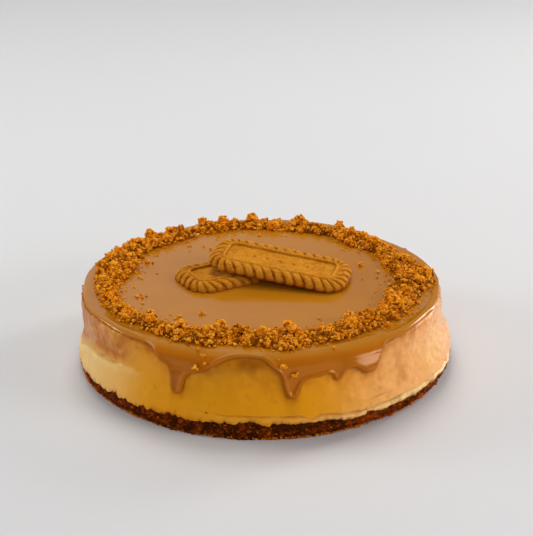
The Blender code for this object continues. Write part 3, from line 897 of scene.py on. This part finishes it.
def filling_tint(angle, z, spots, edge, crack):
    """How browned, how pale and how dark the filling is at each point, painted shade and highlights
    among them.
    """
    soft, mottle = rough(spots * (1, 1, 0.7), 11.0, 3, 21.0), rough(spots, 3.4, 2, 31.0)

    def cloudy(level, soft_share, mottle_share):
        return np.clip(level + soft_share * soft + mottle_share * mottle, 0, 1)

    around = np.linspace(-180, 180, 1441)
    below_spread = np.maximum(0, np.interp(angle, around, edge_height(around)) - z)
    over_base = np.maximum(0, z - edge)
    right, right_seam = smooth(angle, *RIGHT_SIDE), smooth(angle, -95, -65)

    # Browning: under the spread, more so in the arch, and mottled from the front's middle up.
    top = np.exp(-below_spread / 4.5)
    top = top * (0.7 + 0.35 * hump(angle, -97, 16) + 0.5 * soft + 0.45 * mottle)
    in_arch = hump(angle, -95, 13) * bell(below_spread, 7.5) * (0.8 + 0.4 * soft + 0.3 * mottle)
    front = hump(angle, -88, 38) * smooth(z, 14, 32) * cloudy(0.45, 0.7, 0.4) * 0.5
    back = smooth(angle, -2, 12) * (1 - smooth(angle, 155, 180))
    back = back * smooth(z, 16, 38) * cloudy(0.35, 1, 0) * 0.6
    peach = smooth(angle, -75, -52) * (1 - smooth(angle, -5, 5)) * smooth(z, 13, 18)
    peach = peach * np.minimum(cloudy(0.08, 0.35, 0.3), 0.4)
    freckles = smooth(rough(spots, 3.2, 2, 40.0), 0.45, 0.9) * smooth(z, 12, 20) * 0.28
    freckles = freckles * (1 - smooth(angle, -75, -55))
    stain = np.exp(-over_base / 1.0) * cloudy(0.6, 0, 0.8)
    # The left side is browned above its ledge, partly as painted shade over the crease, and pale
    # below it.
    at, height = np.array(LEDGE_LINE, float).T
    turned = angle % 360 - 360
    above = z - curve(turned, at, height)
    left = smooth(turned, -214, -176) * (1 - smooth(turned, -142, -126))
    # Browning above the ledge, partly painted shade in the hollow over the crease.
    left_brown_and_shade = left * (0.45 * smooth(above, -0.4, 1.0) + 0.55 * smooth(above, 0, 6))
    left_brown_and_shade = left_brown_and_shade * cloudy(0.95, 0.45, 0.3)
    # A painted highlight on the top of the bulge under the crease.
    bulge_highlight = left * smooth(-above, 0.1, 0.8) * bell(np.maximum(0, -above), 6) * (0.6 + 0.3 * soft)
    lower_left = 0.3 * left * smooth(-above, 0, 6)
    # Pale bead under the seam, whiter to the right, and a painted highlight on the belly on the
    # right.
    bead = bell(z - crack + 1.6, 1.6) * seam_share(angle)
    bead = bead * (0.12 + 0.88 * smooth(angle, -92, -45))
    right_highlight = 0.5 * hump(angle, -26, 16) * bell(z - 24, 8) * (0.8 + 0.3 * soft)

    # Dark: crumb smears, the spread's rim and arch, and painted shade in cracks, crease, pits and
    # at the spread's edge.
    dots = np.clip(0.5 + 1.0 * rough(spots, 5.5, 3, 50.0), 0, 1)
    # Painted shade in the seam's crack and in the second crack.
    line = bell(z - crack, 0.45) * seam_share(angle) * (0.2 + 0.35 * right_seam)
    second = hump(angle, *SECOND_CRACK[:2]) * bell(over_second_crack(angle, z), 0.35)
    smears = np.exp(-over_base / (0.8 + 0.8 * smooth(angle, -85, -50)))
    smears = smears * smooth(rough(spots * (1, 1, 0.6), 1.9, 2, 60.0), 0.0, 0.5)
    crust = 0.75 * bell(below_spread, 0.9) * left * cloudy(0.7, 0, 1)
    crease_shade = 0.3 * left * bell(above + 0.1, 0.6) * dots
    # Painted shade along the spread's lower edge.
    shade = np.zeros(len(angle))
    close = below_spread < 14
    near = edge_distance(angle[close], z[close], edge_height)
    shade[close] = 0.62 * bell(near, 0.75) * flow_share(angle[close])
    arch = 0.68 * hump(angle, -95, 16) ** 0.6 * bell(below_spread, 6.0) * cloudy(0.75, 0.5, 0.4)
    # Painted shade in the pits.
    pits = 0.2 * filling_pits(spots) * right

    brown = np.maximum.reduce([top, in_arch, front, 1.1 * left_brown_and_shade, freckles, stain, back, peach])
    pale = np.maximum.reduce([bead, bulge_highlight, lower_left, right_highlight])
    line, second = line * (0.35 + 0.65 * dots), 0.6 * second * dots
    dark = np.maximum.reduce([line, second, smears, crust, crease_shade, shade, arch, pits])
    return brown * (1 - 0.7 * bead), pale * (1 - 0.8 * stain), dark


def base_wall(angle, z):
    """Radius of the base without its crags, which stands straighter at its foot in front."""
    straighter = hump(angle, -98, 46)
    foot = side_radius(angle, np.maximum(z, 3.2)) * straighter
    return side_radius(angle, z) * (1 - straighter) + foot


def make_base(material):
    """The crumb base: craggy side, past the filling under the ragged layer line, sunk above it."""
    level = [0.0, 0.0] + spaced(0.0, BASE_TOP, 40) + [BASE_TOP, 9.0, 8.5]
    drawn_in = [TO_AXIS, 5.0] + [0.0] * 40 + [0.5, 8.0, TO_AXIS]
    obj, column, row = sheet("base_crust", BASE_COLUMNS, len(level))
    angle = round_angle(column, BASE_COLUMNS)
    level, drawn_in = np.array(level)[row], np.array(drawn_in)[row]
    edge = layer_edge(angle)
    z = np.where(level < LAYER_Z, level * edge / LAYER_Z, edge + level - LAYER_Z)
    spots = from_polar(angle, SIDE_RADIUS, z)
    coarse, coarse_value = cobbles(spots, 2.3, 2.0)
    fine, fine_value = cobbles(spots, 1.0, 5.0)
    coarse, pebble = np.minimum(coarse, 0.7), np.minimum(fine, 0.6)
    crag = 1.3 * coarse * (0.5 + coarse_value) + 0.8 * pebble
    crag = crag + 0.4 * rough(spots, 4.5, 2, 1.3) - 0.95
    gain = np.clip((edge + 0.4 - z) / 0.8, -1.8, 0.3)
    foot = 0.8 * (1 - smooth(z, 0.0, 1.2)) * smooth(rough(spots, 7.0, 2, 3.0), -0.2, 0.5)
    radius = base_wall(angle, z) - 1.1 * hump(angle, -172, 30) + gain + crag - foot
    # Tone: darker in the cracks between the lumps, which is painted shade, and uneven at random.
    tone = 0.5 * coarse * (0.1 + 1.2 * coarse_value) + 0.7 * pebble * fine_value
    tone = tone + 0.3 * rough(spots, 2.6, 3, 9.0)
    bright = (fine_value > 0.93) * np.minimum(fine, 0.5) * 1.4
    # Bright grains, and paler away from the front, which is painted light on the sides.
    tone = tone + bright + 0.12 * (1 - hump(angle, -90, 48))
    close_up(obj, from_polar(angle, np.maximum(0.0, radius - drawn_in), z), tone=tone)
    return finish_piece(obj, material, "biscuit_base")


def spread_columns():
    """Angles of the spread's columns, closer together where its edge is steep."""
    steep = np.abs(np.gradient(spread_edge(FINE_ROUND), FINE_ROUND))
    density = 1 + np.minimum(steep, 7) * 0.8
    total = np.concatenate([[0.0], np.cumsum((density[1:] + density[:-1]) / 2)])
    even = np.arange(SPREAD_COLUMNS + 1) / SPREAD_COLUMNS * total[-1]
    return np.interp(even, total, FINE_ROUND)


def skin_thickness(angle, down, end, height):
    """Thickness of the spread on the side: round at its edge, with rims, lip and pool."""
    away = edge_distance(angle, down, edge_down)
    deep = smooth(end, 3.5, 12)
    rolled = np.maximum(*(hump(angle, middle, reach) for middle, reach in RIM_BEADS))
    bead = 1.0 + 0.6 * deep + 1.9 * rolled
    closing = np.sqrt(np.clip(1 - (1 - np.minimum(away, bead) / bead) ** 2, 0, 1))
    ridge = (0.5 + 0.45 * deep - 0.35 * rolled) * bell(away - 1.3, 0.95) * smooth(down, 0, 4)
    thick = SPREAD_TOP - FILLING_TOP + ridge
    rim = RIM_BEAD_THICK * rolled * bell(away - 2.0, 1.7)
    thick += 0.35 * deep * smooth(31 - height, 0, 8) + rim
    lip = bell(height - LIP_Z, 0.9) - 0.9 * bell(height - LIP_Z + 1.7, 0.8)
    thick += LIP_THICK * lip * hump(angle, LIP_AT, LIP_HALF + 1.6)
    wide, tall = POOL_SIZE
    pool = (((angle - POOL_AT) * MM_PER_DEGREE) / wide) ** 4 + ((height - POOL_Z) / tall) ** 2
    thick += POOL_THICK * deep * np.exp(-pool) * smooth(away, 0, 3)
    return thick * closing - 0.12 * (1 - closing)


def make_spread(material):
    """The poured spread: level top, and a skin over the rounded edge that flows and drips."""
    top, skin_rows, inner = 24, 44, 7
    bottom = top + skin_rows
    obj, column, row = sheet("spread_poured", SPREAD_COLUMNS, bottom + inner + 3)
    columns = spread_columns()
    angle, end = columns[column], edge_down(columns)[column]
    flat = over_side(angle, np.zeros(len(angle)))[0]
    radius = np.minimum(row / top, 1.0) * flat
    z = np.full(len(row), SPREAD_TOP)
    # Rows of the skin, closer together towards its lower edge.
    skin = (row > top) & (row <= bottom)
    down = end[skin] * (1 - (1 - (row[skin] - top) / skin_rows) ** 1.5)
    wall, height, out, up = over_side(angle[skin], down)
    thick = skin_thickness(angle[skin], down, end[skin], height)
    radius[skin], z[skin] = wall + out * thick, height + up * thick
    # Rows of the hidden inside, which reaches a little into the filling.
    back = (row > bottom) & (row <= bottom + inner)
    share = (row[back] - top - skin_rows) / inner
    wall, height, out, up = over_side(angle[back], end[back] * (1 - share))
    radius[back], z[back] = wall - out * (0.4 + share), height - up * (0.4 + 0.4 * share)
    radius = np.where(row == bottom + inner + 1, SPREAD_UNDER_RADIUS, radius)
    radius = np.where(row > bottom + inner + 1, 0.0, radius)
    z = np.where(row > bottom + inner, SPREAD_UNDER_Z, z)
    placed = from_polar(angle, radius, z)
    level = smooth(flat - radius, -2, 8) * (row <= top)
    placed[:, 2] += level * (0.1 * rough(placed, 30.0, 2, 2.0) - 0.05)
    close_up(obj, placed, hang=smooth(SPREAD_TOP - placed[:, 2], 0.05, 2.0))
    return finish_piece(obj, material, "spread_glaze")


def ring_span(angle):
    """Inner and outer radius of the crumb ring at this angle."""
    around = np.asarray(angle) % 360
    return np.interp(around, RING_AT, RING_INNER), np.interp(around, RING_AT, RING_OUTER)


def heap_height(angle, across):
    """Height of the crumb heap over the spread, at a share of the way across the ring."""
    inner, outer = ring_span(angle)
    place = from_polar(angle, inner + across * (outer - inner), 0.0).reshape(-1, 3)
    dome = np.sin(math.pi * np.clip(0.1 + 0.82 * across, 0, 1)) ** 0.5
    uneven = 1 + 0.75 * rough(place, 11.0, 3, 4.2)
    return np.clip(RING_HEIGHT * dome * uneven, 0.0, RING_HIGHEST)


def make_ring_core(material):
    """Body of the crumb ring, cobbled like a heap of crumbs."""
    arc, under = 36, 3
    obj, column, row = sheet("ring_heap", RING_COLUMNS, arc + under + 1)
    angle = round_angle(column, RING_COLUMNS)
    across = np.where(row <= arc, row / arc, 1 - (row - arc) / under)
    inner, outer = ring_span(angle)
    start = inner + 2.0 + 2.4 * rough(from_polar(angle, 85.0, 0.0), 6.0, 3, 6.0)
    end = outer - 2.0 + 1.6 * rough(from_polar(angle, 95.0, 3.0), 6.0, 3, 9.0)
    radius = start + across * (end - start)
    where = from_polar(angle, radius, 0.0)
    coarse, coarse_value = cobbles(where, 2.6, 1.0)
    fine, fine_value = cobbles(where, 1.3, 7.0)
    coarse, fine = np.minimum(coarse, 0.7), np.minimum(fine, 0.7)
    height = heap_height(angle, across) * 0.72
    lumps = 1.9 * coarse * (0.5 + coarse_value) + 0.8 * fine - 0.4
    edge = np.clip(5 * np.minimum(across, 1 - across), 0, 1)
    top = (row <= arc) & (row > 0)
    heap = RING_FOOT + 0.4 * edge + np.maximum(0, height * edge + lumps * edge)
    z = np.where(top, heap, RING_UNDER)
    # Tone: painted shade, darker in the cracks between the lumps.
    tone = 0.6 * coarse * (0.6 + 0.8 * coarse_value) + 0.5 * fine * (0.4 + fine_value)
    close_up(obj, from_polar(angle, radius, z), tone=tone)
    return finish_piece(obj, material, "crumb_ring")


# Crumbs


def crumb_shapes(count, detail, granules, size, seed):
    """Lumps about one unit across, each a cluster of granules of about this size.

    Each is its points, their tones (painted shade where granules meet, painted light on tops) and
    its faces.
    """
    shapes = []
    draw = random.Random(seed)
    for _ in range(count):
        bm = bmesh.new()
        bmesh.ops.create_icosphere(bm, subdivisions=detail, radius=1.0)
        way = np.array([v.co.normalized() for v in bm.verts])
        faces = np.array([[v.index for v in face.verts] for face in bm.faces])
        bm.free()
        reach, tone = np.full(len(way), 0.16), np.full(len(way), 0.0)
        for _ in range(granules):
            ball = draw.uniform(0.75, 1.3) * size
            side = np.array(Vector([draw.gauss(0, 1) for _ in range(3)]).normalized())
            centre = side * draw.uniform(0.35, 1.0) * (0.52 - ball)
            along = way @ centre
            inside = along**2 - centre @ centre + ball**2
            edge = along + np.sqrt(np.maximum(inside, 0))
            further = (inside > 0) & (edge > reach)
            height = np.clip(np.sqrt(np.maximum(inside, 0)) / ball, 0, 1)
            reach = np.where(further, edge, reach)
            # Tone is painted shade and light: dark where the granules meet, pale on their tops.
            lit = (0.05 + 0.95 * height**1.5) * draw.uniform(0.7, 1.25)
            tone = np.where(further, lit, tone)
        points = way * reach[:, None]
        points += way * (0.07 * rough(points, 0.2, 2, draw.random()))[:, None]
        shapes.append((points, tone, faces))
    return shapes


def spot(angle, radius, z, size, tone, flat):
    """A crumb's place (x, y, z), size, tone and flatness."""
    x, y, _ = from_polar(angle, radius, 0.0)
    return float(x), float(y), z, size, tone, flat


def scatter(name, shapes, spots, draw, material):
    """Joins one lump at each spot, turned at random, into one piece."""
    all_points, all_faces, tones, start = [], [], [], 0
    for x, y, z, size, tone, flat in spots:
        points, shade, faces = shapes[draw.randrange(len(shapes))]
        turn = np.array(Euler([draw.uniform(0, 6.28) for _ in range(3)]).to_matrix())
        stretch = np.array([draw.uniform(0.8, 1.2), draw.uniform(0.8, 1.2), flat])
        all_points.append((points @ turn.T) * stretch * size + (x, y, z))
        all_faces.append(faces + start)
        tones.append(np.clip(tone * shade, 0, 1))
        start += len(points)
    mesh = bpy.data.meshes.new(name)
    points = np.concatenate(all_points)
    points[:, 2] = np.maximum(points[:, 2], 0.01)
    mesh.from_pydata(points.tolist(), [], np.concatenate(all_faces).tolist())
    obj = bpy.data.objects.new(name, mesh)
    bpy.context.scene.collection.objects.link(obj)
    keep_values(mesh, "tone", np.concatenate(tones))
    return finish_piece(obj, material, smooth_faces=False)


def ring_spots(draw, count, small, large, spill, lift):
    """Places over the ring for crumbs of a size range; spill lets some lie past its edges."""
    spots = []
    while len(spots) < count:
        angle = draw.uniform(0, 360)
        inner, outer = (float(value) for value in ring_span(angle))
        size = small + (large - small) * draw.random() ** 1.7
        across = draw.uniform(-spill, 1 + 0.6 * spill)
        radius = inner + size / 2 + across * (outer - inner - size)
        if (across < 0 or across > 1) and draw.random() > 0.35 or radius > RING_REACH - size / 2:
            continue
        height = float(heap_height(angle, np.array([across]))[0]) if 0 < across < 1 else 0.0
        start = float(over_side(np.array(angle), np.array(0.0))[0])
        sink = min(0.07 * max(0.0, radius - start) ** 2, 1.5)
        lifted = max(size * 0.36, height * lift + size * draw.uniform(-0.05, 0.25))
        z = SPREAD_TOP - 0.1 - sink + lifted
        tone = min(1.3, max(0.4, draw.gauss(0.95, 0.22)))
        spots.append(spot(angle, radius, z, size, tone, draw.uniform(0.8, 1.0)))
    return spots


def big_clumps(draw):
    """Places of the largest clumps, which stand out of the ring."""
    spots = []
    for angle, radius, size in BIG_CLUMPS:
        size *= BIG_CLUMP_GAIN
        tone = draw.uniform(0.95, 1.15)
        spots.append(spot(angle, radius, SPREAD_TOP + size * 0.42, size, tone, 0.9))
    return spots


def make_strays(shapes, draw, material):
    """Lone crumbs on the spread, on its skirt, along the left rim and round the ring's edges."""
    spots = [
        (x, y, SPREAD_TOP + size * 0.3, size, draw.uniform(0.9, 1.2), 0.85) for x, y, size in STRAYS
    ]
    downs = np.linspace(0, 24, 60)
    for angle, z, size in SKIRT_STRAYS:
        down = np.interp(-z, -over_side(np.full(60, angle), downs)[1], downs)
        wall, _, out, _ = (float(value) for value in over_side(np.array(angle), np.array(down)))
        radius = min(wall + out * SPREAD_THICK + size * 0.25, SKIRT_REACH)
        spots.append(spot(angle, radius, z, size, draw.uniform(0.95, 1.2), 0.9))
    for _ in range(RIM_STRAYS):
        angle, size = draw.uniform(-178, -132), draw.uniform(0.5, 1.2)
        radius = float(side_radius(np.array(angle), np.array(41.0))) - 0.1
        z = draw.uniform(41.2, 42.0)
        spots.append(spot(angle, radius, z, size, draw.uniform(0.5, 0.9), 0.9))
    for _ in range(RING_STRAYS):
        angle, size = draw.uniform(0, 360), draw.uniform(0.6, 1.7)
        inner, outer = (float(value) for value in ring_span(angle))
        if draw.random() < 0.6:
            radius = inner - abs(draw.gauss(0, 4))
        else:
            radius = min(outer + abs(draw.gauss(0, 2.0)), 92.0)
        z = SPREAD_TOP + size * 0.2
        spots.append(spot(angle, radius, z, size, draw.uniform(0.8, 1.2), 0.8))
    return scatter("stray_crumbs", shapes, spots, draw, material)


def make_base_crumbs(shapes, draw, material):
    """Bits caught in the base, golden ones at its foot, and dark ones stuck over it."""
    spots = []
    for index in range(BASE_CRUMBS):
        angle = draw.uniform(-180, 180)
        foot, stuck = index % 2 == 0, index % 5 == 3
        size = draw.uniform(0.7, 1.4) if draw.random() < 0.6 else draw.uniform(1.4, 2.5)
        high = float(layer_edge(np.array([angle]))[0])
        z = draw.uniform(0.2, 1.5) if foot else draw.uniform(1.0, high)
        if stuck:
            z, size = high + abs(draw.gauss(0, 1.1)) - 0.4, draw.uniform(1.0, 2.6)
        z = max(z, size * 0.45)
        out = -0.1 if stuck else draw.uniform(-0.2, 0.9)
        radius = float(base_wall(np.array(angle), np.array(z))) + out
        radius = min(radius, BASE_REACH - size * 0.5)
        tones = (0.0, 0.35) if stuck else (0.6, 1.2) if foot else (0.1, 0.8)
        spots.append(spot(angle, radius, z, size, draw.uniform(*tones), 0.9))
    return scatter("base_crumbs", shapes, spots, draw, material)


# Biscuits


def outline(place, inset):
    """Points of the biscuit's outline at these shares of the way round, moved in by the insets."""
    straight_x = BISCUIT_LENGTH / 2 - BISCUIT_CORNER
    straight_y = BISCUIT_WIDTH / 2 - BISCUIT_CORNER
    quarter = straight_x + straight_y + BISCUIT_CORNER * math.pi / 2
    way = (place % 1.0) * 4 * quarter
    side = (way // quarter).astype(int) % 4
    way = way - (way // quarter) * quarter
    way = np.where(side % 2 == 1, quarter - way, way)
    turn = np.clip((way - straight_y) / BISCUIT_CORNER, 0, math.pi / 2)
    reach = BISCUIT_CORNER - inset
    x = np.where(way < straight_y, BISCUIT_LENGTH / 2 - inset, straight_x + reach * np.cos(turn))
    y = np.where(way < straight_y, way, straight_y + reach * np.sin(turn))
    past = way > quarter - straight_x
    x = np.where(past, quarter - way, x)
    y = np.where(past, BISCUIT_WIDTH / 2 - inset, y)
    return np.where((side == 0) | (side == 3), x, -x), np.where(side < 2, y, -y)


def make_biscuit(node, at, turn, tone, seed, material):
    """One biscuit: fluted edge, domed border, thin bead round a panel with pricked holes."""
    floor = BISCUIT_THICK - PANEL_DEPTH
    border = [(PANEL_INSET, floor), (9.0, floor + 0.1), (8.75, floor + 0.6)]
    border += [(inset, BISCUIT_THICK - low) for inset, low in BISCUIT_BORDER]
    border += [(0.05, 1.3), (0.3, 0.75), (0.7, 0.32), (1.2, 0.08), (1.8, 0.0), (PANEL_INSET, 0.0)]
    inward = [i / 24 for i in range(24, 0, -1)]
    rows, columns = len(inward) + len(border) + 4, BISCUIT_FLUTES * 16
    obj, column, row = sheet(f"{node}_baked", columns, rows)
    share = column / columns
    insets, heights = zip(*border)
    inset = np.array([PANEL_INSET] * len(inward) + list(insets) + [PANEL_INSET] * 4)[row]
    z = np.array([floor] * len(inward) + list(heights) + [0.0] * 4)[row]
    fold = np.array(inward + [0.0] * len(border) + [0.3, 0.6, 0.85, 1.0])[row]
    top_side = z > 0.9
    groove = (1 - np.abs(np.sin(math.pi * (share * BISCUIT_FLUTES + 0.12 * inset)))) ** 2.0
    reach_in = 1 - smooth(inset, 4.6, 7.3)
    reach_in = reach_in * np.where(top_side, 1, 1 - smooth(inset, 0.6, 1.6))
    x, y = outline(share, inset + FLUTE_DEPTH * groove * (1 - smooth(inset, 0.5, 3.5)))
    z = z - np.where(top_side, FLUTE_DROP * groove * reach_in * smooth(inset, 0.1, 1.6), 0)
    # Rows inside the panel close up to a line along the middle.
    half_line = (BISCUIT_LENGTH - BISCUIT_WIDTH) / 2
    x, y = x + (np.clip(x, -half_line, half_line) - x) * fold, y * (1 - fold)
    local = np.stack([x, y, z], -1)
    grain = 0.16 * rough(local + (seed, 0, 0), 3.2, 3, seed) + 0.07 * rough(local, 0.9, 2, seed)
    local[:, 2] += np.where(top_side, grain, 0)
    for hole in range(DOCKER_HOLES):
        gone = np.hypot(x - (hole - (DOCKER_HOLES - 1) / 2) * DOCKER_PITCH, y)
        deep = DOCKER_DEPTH * np.exp(-((gone / DOCKER_RADIUS) ** 4))
        local[:, 2] -= np.where(z > 3, deep - 0.12 * bell(gone - DOCKER_RIM, 0.4), 0)
    # Tone: painted shade in the flutes, towards the underside and in the border's hollows, a
    # painted highlight on the bead round the panel, and the grain's own unevenness.
    tone = tone - 1.1 * groove * reach_in - 0.5 * (1 - smooth(local[:, 2], 0.3, 3.8))
    tone = tone + 0.9 * grain + 0.4 * bell(inset - 8.2, 0.4)
    tone -= (0.6 * bell(inset - 9.0, 0.35) + 0.3 * bell(inset - 6.9, 0.6)) * (fold < 0.02)
    spin = np.array(Euler([math.radians(a) for a in turn]).to_matrix())
    close_up(obj, local @ spin.T + at, tone=tone)
    return finish_piece(obj, material, node)


# Stage


def area_light(name, place, target, size, brightness, colour, mirrored):
    """A soft light of this even brightness, aimed at a point. Glossy things show it if mirrored."""
    light = bpy.data.lights.new(name, "AREA")
    light.shape = "RECTANGLE"
    light.size, light.size_y = size
    light.energy = brightness * math.pi * size[0] * size[1]
    light.color = colour
    obj = bpy.data.objects.new(name, light)
    obj.location = place
    obj.visible_glossy = mirrored
    obj.rotation_euler = (Vector(place) - Vector(target)).to_track_quat("Z", "Y").to_euler()
    bpy.context.scene.collection.objects.link(obj)


def make_studio():
    """Dim air all round, with a paler wall behind, mostly to the left, that the spread mirrors."""
    world = bpy.data.worlds.new("studio")
    bpy.context.scene.world = world
    world.use_nodes = True
    tree = world.node_tree
    facing = add(tree, "ShaderNodeTexCoord").outputs["Generated"]
    x, y, z = add(tree, "ShaderNodeSeparateXYZ", {0: facing}).outputs
    wall = maths(tree, "MULTIPLY", fade(tree, y, 0.3, 0.8), fade(tree, z, 0.8, 0.55))
    wall = maths(tree, "MULTIPLY", wall, fade(tree, x, 0.16, -0.1, 0.1, 0.56))
    background = tree.nodes["Background"]
    background.inputs["Color"].default_value = STUDIO_AIR
    strength = maths(tree, "ADD", maths(tree, "MULTIPLY", wall, 0.78), 0.2)
    tree.links.new(strength, background.inputs["Strength"])


def make_stage():
    """Pale floor, soft studio light and the camera at the photo's angle."""
    bm = bmesh.new()
    bmesh.ops.create_grid(bm, x_segments=2, y_segments=2, size=6.0)
    floor = new_piece("pale_floor", bm)
    floor.data.materials.append(floor_material())
    make_studio()
    for name, settings in LIGHTS.items():
        area_light(name, *settings)
    camera = bpy.data.cameras.new("camera")
    camera.lens = CAMERA_LENS
    camera.sensor_width = CAMERA_SENSOR
    camera.clip_start = 0.01
    eye = bpy.data.objects.new("camera", camera)
    eye.location = CAMERA_AT
    eye.rotation_euler = (math.radians(90 - CAMERA_DOWN), 0.0, math.radians(CAMERA_TURN))
    bpy.context.scene.collection.objects.link(eye)
    bpy.context.scene.camera = eye
    bpy.context.scene.view_settings.view_transform = "Standard"


def main():
    make_filling(filling_material())
    make_base(crumb_material("crumb_base", BASE_DARK_AND_SHADE, BASE_MAIN, BASE_FLECK, 1300.0))
    make_spread(spread_material())
    crumb = crumb_material("ring_crumb", CRUMB_SHADE, CRUMB_MAIN, CRUMB_HIGHLIGHT, 900.0)
    foot = crumb_material("base_crumb", BASE_MAIN, BASE_FLECK, CRUMB_MAIN, 900.0)
    make_ring_core(crumb)
    draw = random.Random(5)
    lumps = {}
    for name, (kinds, places) in RING_CRUMBS.items():
        lumps[name] = crumb_shapes(*kinds)
        spots = big_clumps(draw) if name == "ring_clumps" else []
        scatter(name, lumps[name], spots + ring_spots(draw, *places), draw, crumb)
    make_strays(lumps["ring_crumbs"], draw, crumb)
    make_base_crumbs(lumps["ring_bits"], draw, foot)
    biscuit = biscuit_material()
    for row in BISCUITS:
        make_biscuit(*row, biscuit)
    make_stage()


main()
